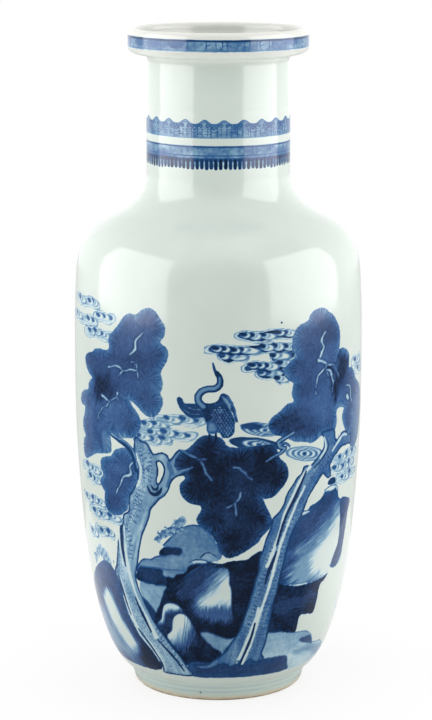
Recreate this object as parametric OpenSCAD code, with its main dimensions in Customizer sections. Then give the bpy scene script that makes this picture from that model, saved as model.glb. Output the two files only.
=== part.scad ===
// Rouleau vase of glazed porcelain.
// The wall is a stack of thrown rings that meet on flat seams, with a turned foot under it, a base plate
// in the foot and a dished mouth on top. Every piece is one outline turned about the vertical axis.
// An outline runs up its outer curve and comes back down its inner one, at the wall's thickness.

/* [Foot] */
// Diameter of the foot just above its standing edge
foot_d = 118.4; // [108:0.2:128]
// Diameter of the foot at its top
foot_top_d = 125.6; // [118:0.2:134]
// Height of the foot
foot_h = 14; // [10:0.5:22]
// Width of the flat standing edge
foot_edge_w = 6; // [3:0.5:8]
// Bevel on both corners of the standing edge
foot_bevel = 1.5; // [0.5:0.25:2.5]
// Depth of the hollow under the base
recess_h = 7.5; // [5:0.5:9]
// Width of the ledge that carries the base plate
base_ledge_w = 5.5; // [3:0.5:7]

/* [Body] */
// Step from the foot out to the body
heel_step = 2.8; // [0:0.2:6]
// Height of the lower ring
lower_h = 98; // [80:1:120]
// How far the top of the lower ring stands in from the shoulder's start
lower_taper = 3.7; // [1:0.1:8]
// Outward lean of the wall where it leaves the foot, in degrees
heel_flare = 50; // [35:1:58]
// Reach of the heel's curve
heel_pull = 21; // [10:1:30]
// Outward lean of the wall at the top of the lower ring, in degrees
lower_flare = 5.7; // [2:0.1:9]
// Reach of the curve below the top of the lower ring
lower_pull = 41; // [20:1:50]
// Height of the middle ring
middle_h = 103; // [80:1:130]
// How far the widest place, at the top of the middle ring, stands out from the shoulder's start
belly_swell = 1.8; // [0.5:0.1:4]
// Height of the upper ring
upper_h = 82; // [60:1:110]
// Diameter where the shoulder starts
shoulder_d = 196; // [186:0.2:206]
// Inward lean of the wall where the shoulder starts, in degrees
shoulder_lean = 5; // [2:0.5:10]

/* [Shoulder] */
// Height from the shoulder's start to its steepest place
turn_h = 35.6; // [28:0.2:45]
// Diameter at the steepest place
turn_d = 142.4; // [130:0.2:154]
// Inward lean at the steepest place, in degrees
turn_lean = 66; // [50:1:70]
// Reach of the curve above the shoulder's start
shoulder_pull = 18.7; // [10:0.1:24]
// Reach of the curve below the steepest place
turn_pull = 18.6; // [10:0.1:24]
// Height from the steepest place to the neck
sweep_h = 28.4; // [22:0.2:40]
// Reach of the curve above the steepest place
sweep_pull = 14.2; // [8:0.1:18]
// Reach of the curve below the neck
neck_pull = 12.3; // [8:0.1:16]

/* [Neck] */
// Diameter of the lower neck
neck_d = 98.8; // [86:0.2:110]
// Height of the lower neck
lower_neck_h = 47; // [30:1:70]
// Radial step between the lower and the upper neck
neck_step = 1.2; // [0:0.1:2.5]
// Height over which the step is rounded off
neck_step_h = 8; // [3:0.5:14]
// Height of the upper neck
upper_neck_h = 28; // [15:1:60]

/* [Mouth] */
// Height of the mouth above the neck
mouth_h = 24; // [21:0.5:32]
// Outer diameter of the mouth
rim_d = 124; // [118:0.2:134]
// Upright stretch of neck below the mouth's underside
collar_h = 1.8; // [0.5:0.1:4]
// Rise of the underside from the neck to the edge
underside_h = 8.2; // [5:0.1:10]
// Rounding between the underside and the upright edge
edge_round = 3.5; // [1:0.1:4]
// Width of the rounded lip
lip_w = 6; // [4:0.5:8]
// Height of the rounded lip
lip_h = 4.5; // [2:0.5:6]
// Reach of the dish's curve below the lip
dish_pull = 9; // [4:0.5:12]
// Reach of the dish's curve above the neck
throat_pull = 10; // [4:0.5:12]

/* [Walls] */
// Thickness of the wall at the heel
heel_wall = 7; // [5:0.25:9]
// Thickness of the body's wall
wall = 5.5; // [4:0.25:7]
// Thickness of the neck's wall
neck_wall = 5; // [3.5:0.25:7]

/* [Hidden] */
$fn = 180;
curve_steps = 24;
glaze_white = "#e4eae4";
bare_porcelain = "#d9c8ae";

// Radii of the foot, from the standing edge inwards
foot_r = foot_d / 2;
foot_top_r = foot_top_d / 2;
edge_outer_r = foot_r - foot_bevel;
edge_inner_r = edge_outer_r - foot_edge_w;
recess_r = edge_inner_r - foot_bevel;
base_r = recess_r + base_ledge_w;

// Seam heights, from the foot up
lower_z = foot_h;
middle_z = lower_z + lower_h;
upper_z = middle_z + middle_h;
shoulder_z = upper_z + upper_h;
turn_z = shoulder_z + turn_h;
neck_z = turn_z + sweep_h;
upper_neck_z = neck_z + lower_neck_h;
mouth_z = upper_neck_z + upper_neck_h;
top_z = mouth_z + mouth_h;

// Outline points on the seams, as radius and height
heel = [foot_top_r + heel_step, lower_z];
lower_seam = [shoulder_d / 2 - lower_taper, middle_z];
belly = [shoulder_d / 2 + belly_swell, upper_z];
shoulder_start = [shoulder_d / 2, shoulder_z];
turn = [turn_d / 2, turn_z];
neck_root = [neck_d / 2, neck_z];
upper_neck_r = neck_d / 2 - neck_step;
rim_r = rim_d / 2;

// Directions of the outline going up: inward leans are positive
function lean(angle) = [-sin(angle), cos(angle)];
upright = lean(0);

// Four control points of a curve from a to b, with its direction and its reach at each end
function curve(a, a_dir, a_reach, b, b_dir, b_reach) =
    [a, a + a_reach * a_dir, b - b_reach * b_dir, b];

// Point at t on a cubic curve, and its direction there
function cubic(p, t) =
    pow(1 - t, 3) * p[0] + 3 * pow(1 - t, 2) * t * p[1] + 3 * (1 - t) * t * t * p[2] + pow(t, 3) * p[3];
function cubic_dir(p, t) =
    pow(1 - t, 2) * (p[1] - p[0]) + 2 * (1 - t) * t * (p[2] - p[1]) + t * t * (p[3] - p[2]);

// Point at t on a curve with one control point
function bend(a, corner, b, t) = pow(1 - t, 2) * a + 2 * (1 - t) * t * corner + t * t * b;

// Points along a curve, and along the inside of a wall behind it, whose thickness goes from w0 to w1
function along(p) = [for (i = [0:curve_steps]) cubic(p, i / curve_steps)];
function behind(p, w0, w1) =
    [for (i = [0:curve_steps])
        let (t = i / curve_steps, d = cubic_dir(p, t), w = w0 + (w1 - w0) * t)
        cubic(p, t) - [w * norm(d) / d[1], 0]];

function backwards(list) = [for (i = [len(list) - 1:-1:0]) list[i]];
function after_first(list) = [for (i = [1:len(list) - 1]) list[i]];

// A solid turned about the vertical axis
module turned(outline) {
    rotate_extrude() polygon(outline);
}

// A ring whose outer wall follows one curve
module thrown_ring(p, w0, w1) {
    turned(concat(along(p), backwards(behind(p, w0, w1))));
}

module foot_ring() {
    color(bare_porcelain) turned([
        [edge_inner_r, 0],
        [edge_outer_r, 0],
        [foot_r, foot_bevel],
        [foot_top_r, foot_h],
        [base_r, foot_h],
        [base_r, recess_h],
        [recess_r, recess_h],
        [recess_r, foot_bevel]
    ]);
}

module base_plate() {
    color(glaze_white) translate([0, 0, recess_h]) cylinder(r = base_r, h = foot_h - recess_h);
}

module lower_body() {
    color(glaze_white) thrown_ring(
        curve(heel, lean(-heel_flare), heel_pull, lower_seam, lean(-lower_flare), lower_pull),
        heel_wall, wall
    );
}

module middle_body() {
    reach = middle_h / 3;
    color(glaze_white) thrown_ring(
        curve(lower_seam, lean(-lower_flare), reach, belly, upright, reach), wall, wall
    );
}

module upper_body() {
    reach = upper_h / 3;
    color(glaze_white) thrown_ring(
        curve(belly, upright, reach, shoulder_start, lean(shoulder_lean), reach), wall, wall
    );
}

// The shoulder turns in to its steepest place and then sweeps up to the neck, thinning on the way
module shoulder() {
    turn_wall = (wall + neck_wall) / 2;
    turn_in = curve(shoulder_start, lean(shoulder_lean), shoulder_pull, turn, lean(turn_lean), turn_pull);
    sweep_up = curve(turn, lean(turn_lean), sweep_pull, neck_root, upright, neck_pull);
    outer = concat(along(turn_in), after_first(along(sweep_up)));
    inner = concat(behind(turn_in, wall, turn_wall), after_first(behind(sweep_up, turn_wall, neck_wall)));
    color(glaze_white) turned(concat(outer, backwards(inner)));
}

// The step near the top of the lower neck is a smooth half wave
module lower_neck() {
    step = [for (i = [0:curve_steps])
        let (t = i / curve_steps)
        [neck_d / 2 - neck_step * (1 - cos(180 * t)) / 2, upper_neck_z - neck_step_h * (1 - t)]];
    outer = concat([neck_root], step);
    inner = [for (p = outer) p - [neck_wall, 0]];
    color(glaze_white) turned(concat(outer, backwards(inner)));
}

module upper_neck() {
    color(glaze_white) turned([
        [upper_neck_r, upper_neck_z],
        [upper_neck_r, mouth_z],
        [upper_neck_r - neck_wall, mouth_z],
        [upper_neck_r - neck_wall, upper_neck_z]
    ]);
}

// The mouth spreads from the neck over a sloping underside to an upright edge, and its lip is half an ellipse
module mouth_rim() {
    collar = [upper_neck_r, mouth_z + collar_h];
    corner = [rim_r, collar[1] + underside_h];
    underside_dir = (corner - collar) / norm(corner - collar);
    edge = [for (i = [0:curve_steps])
        bend(corner - edge_round * underside_dir, corner, corner + edge_round * upright, i / curve_steps)];
    lip_z = top_z - lip_h;
    lip = [for (i = [0:curve_steps])
        let (angle = 180 * i / curve_steps)
        [rim_r - lip_w / 2 + lip_w / 2 * cos(angle), lip_z + lip_h * sin(angle)]];
    throat = [upper_neck_r - neck_wall, mouth_z];
    dish = curve([rim_r - lip_w, lip_z], -upright, dish_pull, throat, -upright, throat_pull);
    color(glaze_white) turned(concat(
        [[upper_neck_r, mouth_z], collar], edge, lip, after_first(along(dish))
    ));
}

foot_ring();
base_plate();
lower_body();
middle_body();
upper_body();
shoulder();
lower_neck();
upper_neck();
mouth_rim();
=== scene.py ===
"""Rouleau vase of blue-and-white porcelain: turned rings, brushed painting, clear glaze and a plain stage."""

import math

import bpy
import numpy as np
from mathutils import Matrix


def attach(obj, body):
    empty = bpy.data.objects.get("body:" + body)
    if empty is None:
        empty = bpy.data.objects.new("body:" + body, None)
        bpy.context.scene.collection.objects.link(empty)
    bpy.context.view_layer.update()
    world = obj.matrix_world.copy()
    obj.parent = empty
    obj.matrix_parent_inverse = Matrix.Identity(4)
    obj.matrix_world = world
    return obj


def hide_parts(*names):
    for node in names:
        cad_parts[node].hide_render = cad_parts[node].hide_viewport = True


bl_info = {
    "name": "Rouleau vase",
    "version": (1, 0, 0),
    "blender": (4, 5, 0),
    "location": "View3D > Sidebar > Vase",
    "description": "Turns, paints and glazes a rouleau vase",
    "category": "Object",
}

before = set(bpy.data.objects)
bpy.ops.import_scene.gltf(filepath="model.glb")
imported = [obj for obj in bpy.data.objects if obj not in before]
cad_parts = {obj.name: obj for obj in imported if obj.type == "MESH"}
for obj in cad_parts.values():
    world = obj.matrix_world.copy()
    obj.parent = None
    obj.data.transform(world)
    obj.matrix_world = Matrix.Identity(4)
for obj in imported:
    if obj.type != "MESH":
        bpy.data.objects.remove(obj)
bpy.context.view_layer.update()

MM = 0.001
# Doubles closer than this are merged
MERGE = 0.00001
# Steps of a painted piece round the front and the back, and of a plain one round each half
PAINTED_STEPS = (432, 288)
PLAIN_STEPS = (180, 180)
# Height between the rows up the outside of each ring, as close as its painting or its curve needs, in metres
BODY_ROW = 0.00086
UPPER_BODY_ROW = 0.00075
SHOULDER_ROW = 0.0015
LOWER_NECK_ROW = 0.00042
UPPER_NECK_ROW = 0.004
MOUTH_ROW = 0.0004
# Rows down the inside of a ring of the body, of each curve of the shoulder, and of the lower neck
INNER_ROWS = 5
SHOULDER_INNER_ROWS = 14
NECK_INNER_ROWS = 12
# Rows round each corner under the mouth, over its lip and down its dish
CORNER_ROWS = 14
LIP_ROWS = 25
DISH_ROWS = 20
# Straight steps that measure the length of a curve
MEASURE_STEPS = 400
# Points that are matched with their rows at one time
MATCH_COUNT = 20000
# Edges that turn by more than this stay crisp
CRISP_ANGLE = math.radians(35)


def linear(code):
    """Linear colour of an sRGB hex value."""
    values = [int(code[i:i + 2], 16) / 255 for i in (1, 3, 5)]
    return tuple(v / 12.92 if v <= 0.04045 else ((v + 0.055) / 1.055) ** 2.4 for v in values)


def length(label, size, description):
    """Length setting, given in millimetres."""
    return bpy.props.FloatProperty(name=label, description=description, default=size * MM, min=0.0,
                                   unit="LENGTH", precision=4)


def angle(label, size, description):
    """Angle setting, given in degrees."""
    return bpy.props.FloatProperty(name=label, description=description, default=math.radians(size),
                                   subtype="ANGLE")


def colour(label, code, description):
    """Colour setting, given as an sRGB hex value."""
    return bpy.props.FloatVectorProperty(name=label, description=description, default=linear(code), size=3,
                                         min=0.0, max=1.0, subtype="COLOR")


class VaseSizes(bpy.types.PropertyGroup):
    """Sizes of the vase's outline and walls."""

    foot_d: length("Foot", 118.4, "Diameter of the foot just above its standing edge")
    foot_top_d: length("Foot top", 125.6, "Diameter of the foot at its top")
    foot_h: length("Foot height", 14, "Height of the foot")
    foot_edge_w: length("Standing edge", 6, "Width of the flat standing edge")
    foot_bevel: length("Foot bevel", 1.5, "Bevel on both corners of the standing edge")
    recess_h: length("Base recess", 7.5, "Depth of the hollow under the base")
    base_ledge_w: length("Base ledge", 5.5, "Width of the ledge that carries the base plate")
    heel_step: length("Heel step", 2.8, "Step from the foot out to the body")
    lower_h: length("Lower ring", 98, "Height of the lower ring")
    lower_taper: length("Lower taper", 3.7, "How far the top of the lower ring stands in from the shoulder")
    heel_flare: angle("Heel flare", 50, "Outward lean of the wall where it leaves the foot")
    heel_pull: length("Heel reach", 21, "Reach of the heel's curve")
    lower_flare: angle("Lower flare", 5.7, "Outward lean of the wall at the top of the lower ring")
    lower_pull: length("Lower reach", 41, "Reach of the curve below the top of the lower ring")
    middle_h: length("Middle ring", 103, "Height of the middle ring")
    belly_swell: length("Belly swell", 1.8, "How far the widest place stands out from the shoulder")
    upper_h: length("Upper ring", 82, "Height of the upper ring")
    shoulder_d: length("Shoulder", 196, "Diameter where the shoulder starts")
    shoulder_lean: angle("Shoulder lean", 5, "Inward lean of the wall where the shoulder starts")
    turn_h: length("Turn height", 35.6, "Height from the shoulder's start to its steepest place")
    turn_d: length("Turn", 142.4, "Diameter at the shoulder's steepest place")
    turn_lean: angle("Turn lean", 66, "Inward lean at the shoulder's steepest place")
    shoulder_pull: length("Shoulder reach", 18.7, "Reach of the curve above the shoulder's start")
    turn_pull: length("Turn reach", 18.6, "Reach of the curve below the steepest place")
    sweep_h: length("Sweep height", 28.4, "Height from the steepest place to the neck")
    sweep_pull: length("Sweep reach", 14.2, "Reach of the curve above the steepest place")
    neck_pull: length("Neck reach", 12.3, "Reach of the curve below the neck")
    neck_d: length("Neck", 98.8, "Diameter of the lower neck")
    lower_neck_h: length("Lower neck", 47, "Height of the lower neck")
    neck_step: length("Neck step", 1.2, "Radial step between the lower and the upper neck")
    neck_step_h: length("Step height", 8, "Height over which the step is rounded off")
    upper_neck_h: length("Upper neck", 28, "Height of the upper neck")
    mouth_h: length("Mouth height", 24, "Height of the mouth above the neck")
    rim_d: length("Mouth", 124, "Outer diameter of the mouth")
    collar_h: length("Collar", 5.2, "Upright stretch of neck below the mouth's underside")
    underside_h: length("Underside", 2.2, "Rise of the underside from the neck to the edge")
    edge_round: length("Edge rounding", 4.4, "Rounding between the underside and the upright edge")
    edge_sweep: length("Edge sweep", 8.5, "How far that rounding reaches in under the mouth")
    collar_round: length("Collar rounding", 4, "Reach of the soft corner between the neck and the underside")
    lip_w: length("Lip", 6, "Width of the rounded lip")
    lip_h: length("Lip height", 4.5, "Height of the rounded lip")
    dish_pull: length("Dish reach", 9, "Reach of the dish's curve below the lip")
    throat_pull: length("Throat reach", 10, "Reach of the dish's curve above the neck")
    heel_wall: length("Heel wall", 7, "Thickness of the wall at the heel")
    wall: length("Body wall", 5.5, "Thickness of the body's wall")
    neck_wall: length("Neck wall", 5, "Thickness of the neck's wall")


class VaseColours(bpy.types.PropertyGroup):
    """Colours of the glaze, the cobalt and the bare clay."""

    glaze: colour("Glaze", "#cad5cd", "White porcelain under the faintly green glaze")
    glaze_thick: colour("Thick glaze", "#c2cec5", "Where the glaze lies thicker, greener and darker")
    glaze_thin: colour("Thin glaze", "#d0d4cc", "Creamier porcelain where the glaze is thin, round the mouth")
    mist: colour("Mist", "#b2ccd4", "Thinnest wash of cobalt")
    pale: colour("Pale wash", "#7ca0b6", "Pale wash of cobalt")
    sky: colour("Light cobalt", "#4a7297", "Light wash of cobalt")
    cobalt: colour("Cobalt", "#365787", "Full wash of cobalt")
    deep: colour("Deep cobalt", "#243f68", "Wash that was laid twice")
    navy: colour("Navy", "#162b4a", "Outlines and the darkest washes")
    ink: colour("Ink", "#0e1a2e", "Cobalt gathered in pools")
    bare: colour("Bare porcelain", "#cdc3a9", "Unglazed clay of the standing edge")
    # Orange-brown of the foot's scorched edge. It is laid along the foot's very bottom, where it also serves as
    # painted contact shade
    burnt_and_shade: colour("Burnt edge", "#8a7a58", "Orange-brown line where the glaze ends on the foot")
    foot_glaze: colour("Foot glaze", "#c4d3ca", "Glaze on the sides of the foot")


def lean(slope):
    """Direction of an outline that goes up, leaning in by an angle."""
    return np.array([-math.sin(slope), math.cos(slope)])


UPRIGHT = lean(0.0)


def bend(start, start_way, start_reach, end, end_way, end_reach):
    """Four control points of a curve, from its ends, its directions there and its reach along them."""
    start, end = np.asarray(start), np.asarray(end)
    return np.array([start, start + start_reach * start_way, end - end_reach * end_way, end])


def along(p, t):
    """Points at t on a curve."""
    t = np.asarray(t)[:, None]
    return (1 - t) ** 3 * p[0] + 3 * (1 - t) ** 2 * t * p[1] + 3 * (1 - t) * t * t * p[2] + t ** 3 * p[3]


def behind(p, t, wall_start, wall_end):
    """Points at t on the inside of a wall behind a curve."""
    t = np.asarray(t)
    s = t[:, None]
    way = (1 - s) ** 2 * (p[1] - p[0]) + 2 * (1 - s) * s * (p[2] - p[1]) + s * s * (p[3] - p[2])
    inside = along(p, t)
    inside[:, 0] -= (wall_start + (wall_end - wall_start) * t) * np.linalg.norm(way, axis=1) / way[:, 1]
    return inside


def even(p, step):
    """Values of t that lie a step apart along a curve."""
    t = np.linspace(0, 1, MEASURE_STEPS)
    run = np.concatenate([[0], np.cumsum(np.linalg.norm(np.diff(along(p, t), axis=0), axis=1))])
    return np.interp(np.linspace(0, run[-1], int(run[-1] / step) + 1), run, t)


def thrown_ring(p, wall_start, wall_end, step):
    """Outer and inner rows of a ring whose wall follows one curve."""
    return along(p, even(p, step)), behind(p, np.linspace(1, 0, INNER_ROWS), wall_start, wall_end)


def rounded(start, corner, end):
    """Points on a curve that cuts a corner."""
    t = np.linspace(0, 1, CORNER_ROWS)[:, None]
    return (1 - t) ** 2 * start + 2 * (1 - t) * t * corner + t * t * end


class Outline:
    """Rows of each piece as (radius, height) in metres: up the outside, then back down the inside."""

    def __init__(self, s):
        self.sizes = s
        middle_z = s.foot_h + s.lower_h
        upper_z = middle_z + s.middle_h
        shoulder_z = upper_z + s.upper_h
        turn_z = shoulder_z + s.turn_h
        self.neck_z = turn_z + s.sweep_h
        self.upper_neck_z = self.neck_z + s.lower_neck_h
        self.mouth_z = self.upper_neck_z + s.upper_neck_h
        self.heel = (s.foot_top_d / 2 + s.heel_step, s.foot_h)
        self.lower_seam = (s.shoulder_d / 2 - s.lower_taper, middle_z)
        self.belly = (s.shoulder_d / 2 + s.belly_swell, upper_z)
        self.shoulder_start = (s.shoulder_d / 2, shoulder_z)
        self.turn = (s.turn_d / 2, turn_z)
        self.neck_root = (s.neck_d / 2, self.neck_z)
        self.upper_neck_r = s.neck_d / 2 - s.neck_step
        self.edge_outer_r = s.foot_d / 2 - s.foot_bevel
        self.edge_inner_r = self.edge_outer_r - s.foot_edge_w
        self.recess_r = self.edge_inner_r - s.foot_bevel
        self.base_r = self.recess_r + s.base_ledge_w

    def foot_ring(self):
        s = self.sizes
        outer = [(self.edge_outer_r, 0), (s.foot_d / 2, s.foot_bevel), (s.foot_top_d / 2, s.foot_h)]
        inner = [(self.base_r, s.foot_h), (self.base_r, s.recess_h), (self.recess_r, s.recess_h),
                 (self.recess_r, s.foot_bevel), (self.edge_inner_r, 0)]
        return np.array(outer), np.array(inner)

    def base_plate(self):
        s = self.sizes
        outer = [(0, s.recess_h), (self.base_r, s.recess_h), (self.base_r, s.foot_h)]
        return np.array(outer), np.array([(0, s.foot_h)])

    def lower_body(self, step):
        s = self.sizes
        p = bend(self.heel, lean(-s.heel_flare), s.heel_pull, self.lower_seam, lean(-s.lower_flare), s.lower_pull)
        return thrown_ring(p, s.heel_wall, s.wall, step)

    def middle_body(self, step):
        s = self.sizes
        reach = s.middle_h / 3
        return thrown_ring(bend(self.lower_seam, lean(-s.lower_flare), reach, self.belly, UPRIGHT, reach),
                           s.wall, s.wall, step)

    def upper_body(self, step):
        s = self.sizes
        reach = s.upper_h / 3
        p = bend(self.belly, UPRIGHT, reach, self.shoulder_start, lean(s.shoulder_lean), reach)
        return thrown_ring(p, s.wall, s.wall, step)

    def shoulder(self, step):
        s = self.sizes
        turn_wall = (s.wall + s.neck_wall) / 2
        turn_in = bend(self.shoulder_start, lean(s.shoulder_lean), s.shoulder_pull,
                       self.turn, lean(s.turn_lean), s.turn_pull)
        sweep_up = bend(self.turn, lean(s.turn_lean), s.sweep_pull, self.neck_root, UPRIGHT, s.neck_pull)
        outer = np.concatenate([along(turn_in, even(turn_in, step)), along(sweep_up, even(sweep_up, step))[1:]])
        down = np.linspace(1, 0, SHOULDER_INNER_ROWS)
        inner = np.concatenate([behind(sweep_up, down, turn_wall, s.neck_wall),
                                behind(turn_in, down, s.wall, turn_wall)[1:]])
        return outer, inner

    def lower_neck(self, step):
        s = self.sizes
        heights = np.linspace(self.neck_z, self.upper_neck_z, int(s.lower_neck_h / step) + 1)
        t = np.clip(1 - (self.upper_neck_z - heights) / s.neck_step_h, 0, 1)
        outer = np.stack([s.neck_d / 2 - s.neck_step * (1 - np.cos(math.pi * t)) / 2, heights], axis=1)
        inner = outer[::-1][::max(len(outer) // NECK_INNER_ROWS, 1)].copy()
        inner[-1] = outer[0]
        inner[:, 0] -= s.neck_wall
        return outer, inner

    def upper_neck(self, step):
        s = self.sizes
        heights = np.linspace(self.upper_neck_z, self.mouth_z, int(s.upper_neck_h / step) + 1)
        outer = np.stack([np.full(len(heights), self.upper_neck_r), heights], axis=1)
        inner = np.array([(self.upper_neck_r - s.neck_wall, self.mouth_z),
                          (self.upper_neck_r - s.neck_wall, self.upper_neck_z)])
        return outer, inner

    def mouth_rim(self, step):
        s = self.sizes
        rim_r = s.rim_d / 2
        collar = np.array([self.upper_neck_r, self.mouth_z + s.collar_h])
        corner = np.array([rim_r, collar[1] + s.underside_h])
        under = (corner - collar) / np.linalg.norm(corner - collar)
        foot = np.array([[self.upper_neck_r, self.mouth_z]])
        soft = rounded(collar - s.collar_round * UPRIGHT, collar, collar + s.collar_round * under)
        edge = rounded(corner - s.edge_sweep * under, corner, corner + s.edge_round * UPRIGHT)
        lip_z = self.mouth_z + s.mouth_h - s.lip_h
        rise = np.linspace(edge[-1][1], lip_z, int((lip_z - edge[-1][1]) / step) + 2)[1:-1]
        upright = np.stack([np.full(len(rise), rim_r), rise], axis=1)
        turn = np.linspace(0, math.pi, LIP_ROWS)
        lip = np.stack([rim_r - s.lip_w / 2 * (1 - np.cos(turn)), lip_z + s.lip_h * np.sin(turn)], axis=1)
        throat = np.array([self.upper_neck_r - s.neck_wall, self.mouth_z])
        dish = bend((rim_r - s.lip_w, lip_z), -UPRIGHT, s.dish_pull, throat, -UPRIGHT, s.throat_pull)
        top = LIP_ROWS // 2 + 1
        outer = np.concatenate([foot, soft, edge, upright, lip[:top]])
        return outer, np.concatenate([lip[top:], along(dish, np.linspace(0, 1, DISH_ROWS)[1:])])


# Depth of the bare skin outside every wash and line, and how far past an edge its tone is kept, in millimetres
FAR = -4.0
SPREAD = 2.0
# Half of the soft edge of a wash, of a line over another one, and of a face kept within a rock, in millimetres
WASH_EDGE = 0.5
LINE_EDGE = 0.45
FACE_EDGE = 0.7
# Tone of a line before any is drawn
LINE_TONE = 0.8
# Bumps of the noise before it repeats, and the shift from one layer of it to the next
LATTICE = 256
LAYER_SHIFT = (37.7, 71.3)
# Room round an outline that is worked on, in millimetres
WASH_ROOM = 3.0
FOLIAGE_ROOM = 4.0
# Breadth and length of the streaks in a wash and on a face, and of the scales on bark, in millimetres
WASH_STREAK = (2.4, 18)
FACE_STREAK = (1.1, 12)
BARK_SCALE = (1.9, 2.3)
# How much the streaks show in a wash and in a cloud
WASH_STREAKS = 0.04
CLOUD_STREAKS = 0.2
# Points of a stroke that are worked on at one time
STROKE_RUN = 8
# Height of a tier of cloud, and distance from scale to scale along a trunk, in millimetres
CLOUD_TALL = 5.6
SCALE_GAP = 2.6
# Keeps a stretch without length from dividing by nothing
TINY = 1e-9


def smooth(low, high, value):
    """Soft step from 0 at the low value to 1 at the high one."""
    t = np.clip((value - low) / (high - low), 0.0, 1.0)
    return t * t * (3.0 - 2.0 * t)


def between(grid, row, col, up, right):
    """Values of a grid between four cells, at shares of the way up and to the right. The grid goes round."""
    rows, cols = grid.shape
    row, next_row, col, next_col = row % rows, (row + 1) % rows, col % cols, (col + 1) % cols
    low = grid[row, col] * (1 - right) + grid[row, next_col] * right
    high = grid[next_row, col] * (1 - right) + grid[next_row, next_col] * right
    return low * (1 - up) + high * up


class Skin:
    """Unrolled skin of the vase: how far each cell lies inside a wash or a line, and their depth of blue."""

    def __init__(self, radius, low, high, cell, seed):
        self.radius = radius
        self.round = 2 * math.pi * radius
        self.low = low
        self.rows = int((high - low) / cell) + 1
        self.cols = int(round(self.round / cell))
        self.cell = self.round / self.cols
        shape = (self.rows, self.cols)
        self.wash = np.full(shape, FAR)
        self.tone = np.zeros(shape)
        self.line = np.full(shape, FAR)
        self.line_tone = np.full(shape, LINE_TONE)
        self.hairs = np.zeros((3, *shape))
        self.random = np.random.default_rng(seed)
        self.lattice = self.random.random((LATTICE, LATTICE))
        self.turn = 0.0

    def window(self, points, margin):
        """Cells round some points, and their places. Columns go on past the join at the back."""
        points = np.asarray(points, float)
        arcs = points[:, 0] + self.turn
        c0 = math.floor((arcs.min() - margin + self.round / 2) / self.cell)
        c1 = math.ceil((arcs.max() + margin + self.round / 2) / self.cell) + 1
        r0 = max(math.floor((points[:, 1].min() - margin - self.low) / self.cell), 0)
        r1 = min(math.ceil((points[:, 1].max() + margin - self.low) / self.cell) + 1, self.rows)
        cols = np.arange(c0, c1)
        rows = np.arange(r0, max(r1, r0))
        arc, height = np.meshgrid(cols * self.cell - self.round / 2, rows * self.cell + self.low)
        return np.ix_(rows, cols % self.cols), arc - self.turn, height

    def noise(self, x, y, layer=0):
        """Smooth noise from -0.5 to 0.5, with one bump per unit."""
        x = x + LAYER_SHIFT[0] * layer
        y = y + LAYER_SHIFT[1] * layer
        col, row = np.floor(x).astype(int), np.floor(y).astype(int)
        return between(self.lattice, row, col, smooth(0, 1, y - row), smooth(0, 1, x - col)) - 0.5

    def lay(self, index, inside, tone):
        """Lays a wash. Bare skin beside it takes its tone too, so that its rim doesn't turn pale."""
        cover = smooth(-WASH_EDGE, WASH_EDGE, inside)
        rim = smooth(-SPREAD, WASH_EDGE - SPREAD, inside)
        weight = np.where(self.wash[index] < 0, rim, cover)
        self.tone[index] = self.tone[index] * (1 - weight) + tone * weight
        self.wash[index] = np.maximum(self.wash[index], inside)
        self.line[index] = np.minimum(self.line[index], -inside)

    def comb(self, index, inside, across, onward, strength):
        """Sets how the brush hairs run in a wash, counted across and along them, and how much they show.
        A strength below 0 gives bark scales in place of streaks."""
        for layer, value in zip(self.hairs, (across, onward, strength)):
            layer[index] = np.where(inside > -1, value, layer[index])

    def draw(self, index, inside, tone):
        """Draws a line over whatever is there."""
        under = self.line[index]
        weight = np.where(under > 0, smooth(-LINE_EDGE, LINE_EDGE, inside), inside > np.maximum(under, -SPREAD))
        self.line_tone[index] = self.line_tone[index] * (1 - weight) + tone * weight
        self.line[index] = np.maximum(self.line[index], inside)

    def wipe(self, index, inside):
        """Leaves the skin bare."""
        self.wash[index] = np.minimum(self.wash[index], -inside)
        self.line[index] = np.minimum(self.line[index], -inside)

    def sample(self, arc, height):
        """Values at some places: depth inside a wash, its tone, depth inside a line, its tone, and the hairs."""
        col = (arc + self.round / 2) / self.cell
        row = np.clip((height - self.low) / self.cell, 0, self.rows - 1.001)
        c, r = np.floor(col).astype(int), np.floor(row).astype(int)
        grids = (self.wash, self.tone, self.line, self.line_tone, *self.hairs)
        return np.stack([between(grid, r, c, row - r, col - c) for grid in grids], axis=1)

    def whole(self):
        """All cells, and their places."""
        arc, height = np.meshgrid(np.arange(self.cols) * self.cell - self.round / 2,
                                  np.arange(self.rows) * self.cell + self.low)
        return np.s_[:, :], arc, height


def curve(points, step=1.5, closed=False):
    """Smooth run of points through the given ones."""
    p = np.asarray(points, float)
    n = len(p)
    if n < 3:
        return p
    out = []
    for i in range(n if closed else n - 1):
        p1, p2 = p[i], p[(i + 1) % n]
        p0 = p[i - 1] if closed or i > 0 else 2 * p1 - p2
        p3 = p[(i + 2) % n] if closed or i + 2 < n else 2 * p2 - p1
        count = max(int(np.hypot(*(p2 - p1)) / step), 1)
        t = (np.arange(count) / count)[:, None]
        out.append(p1 + 0.5 * ((p2 - p0) * t + (2 * p0 - 5 * p1 + 4 * p2 - p3) * t ** 2
                               + (3 * p1 - p0 - 3 * p2 + p3) * t ** 3))
    if not closed:
        out.append(p[-1:])
    return np.concatenate(out)


def off_stretch(start, end, arc, height):
    """Steps to each place from the nearest point of a straight stretch, and where on the stretch that point is."""
    (ax, ay), (bx, by) = start, end
    dx, dy = bx - ax, by - ay
    t = np.clip(((arc - ax) * dx + (height - ay) * dy) / (dx * dx + dy * dy + TINY), 0, 1)
    return arc - ax - t * dx, height - ay - t * dy, t


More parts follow.
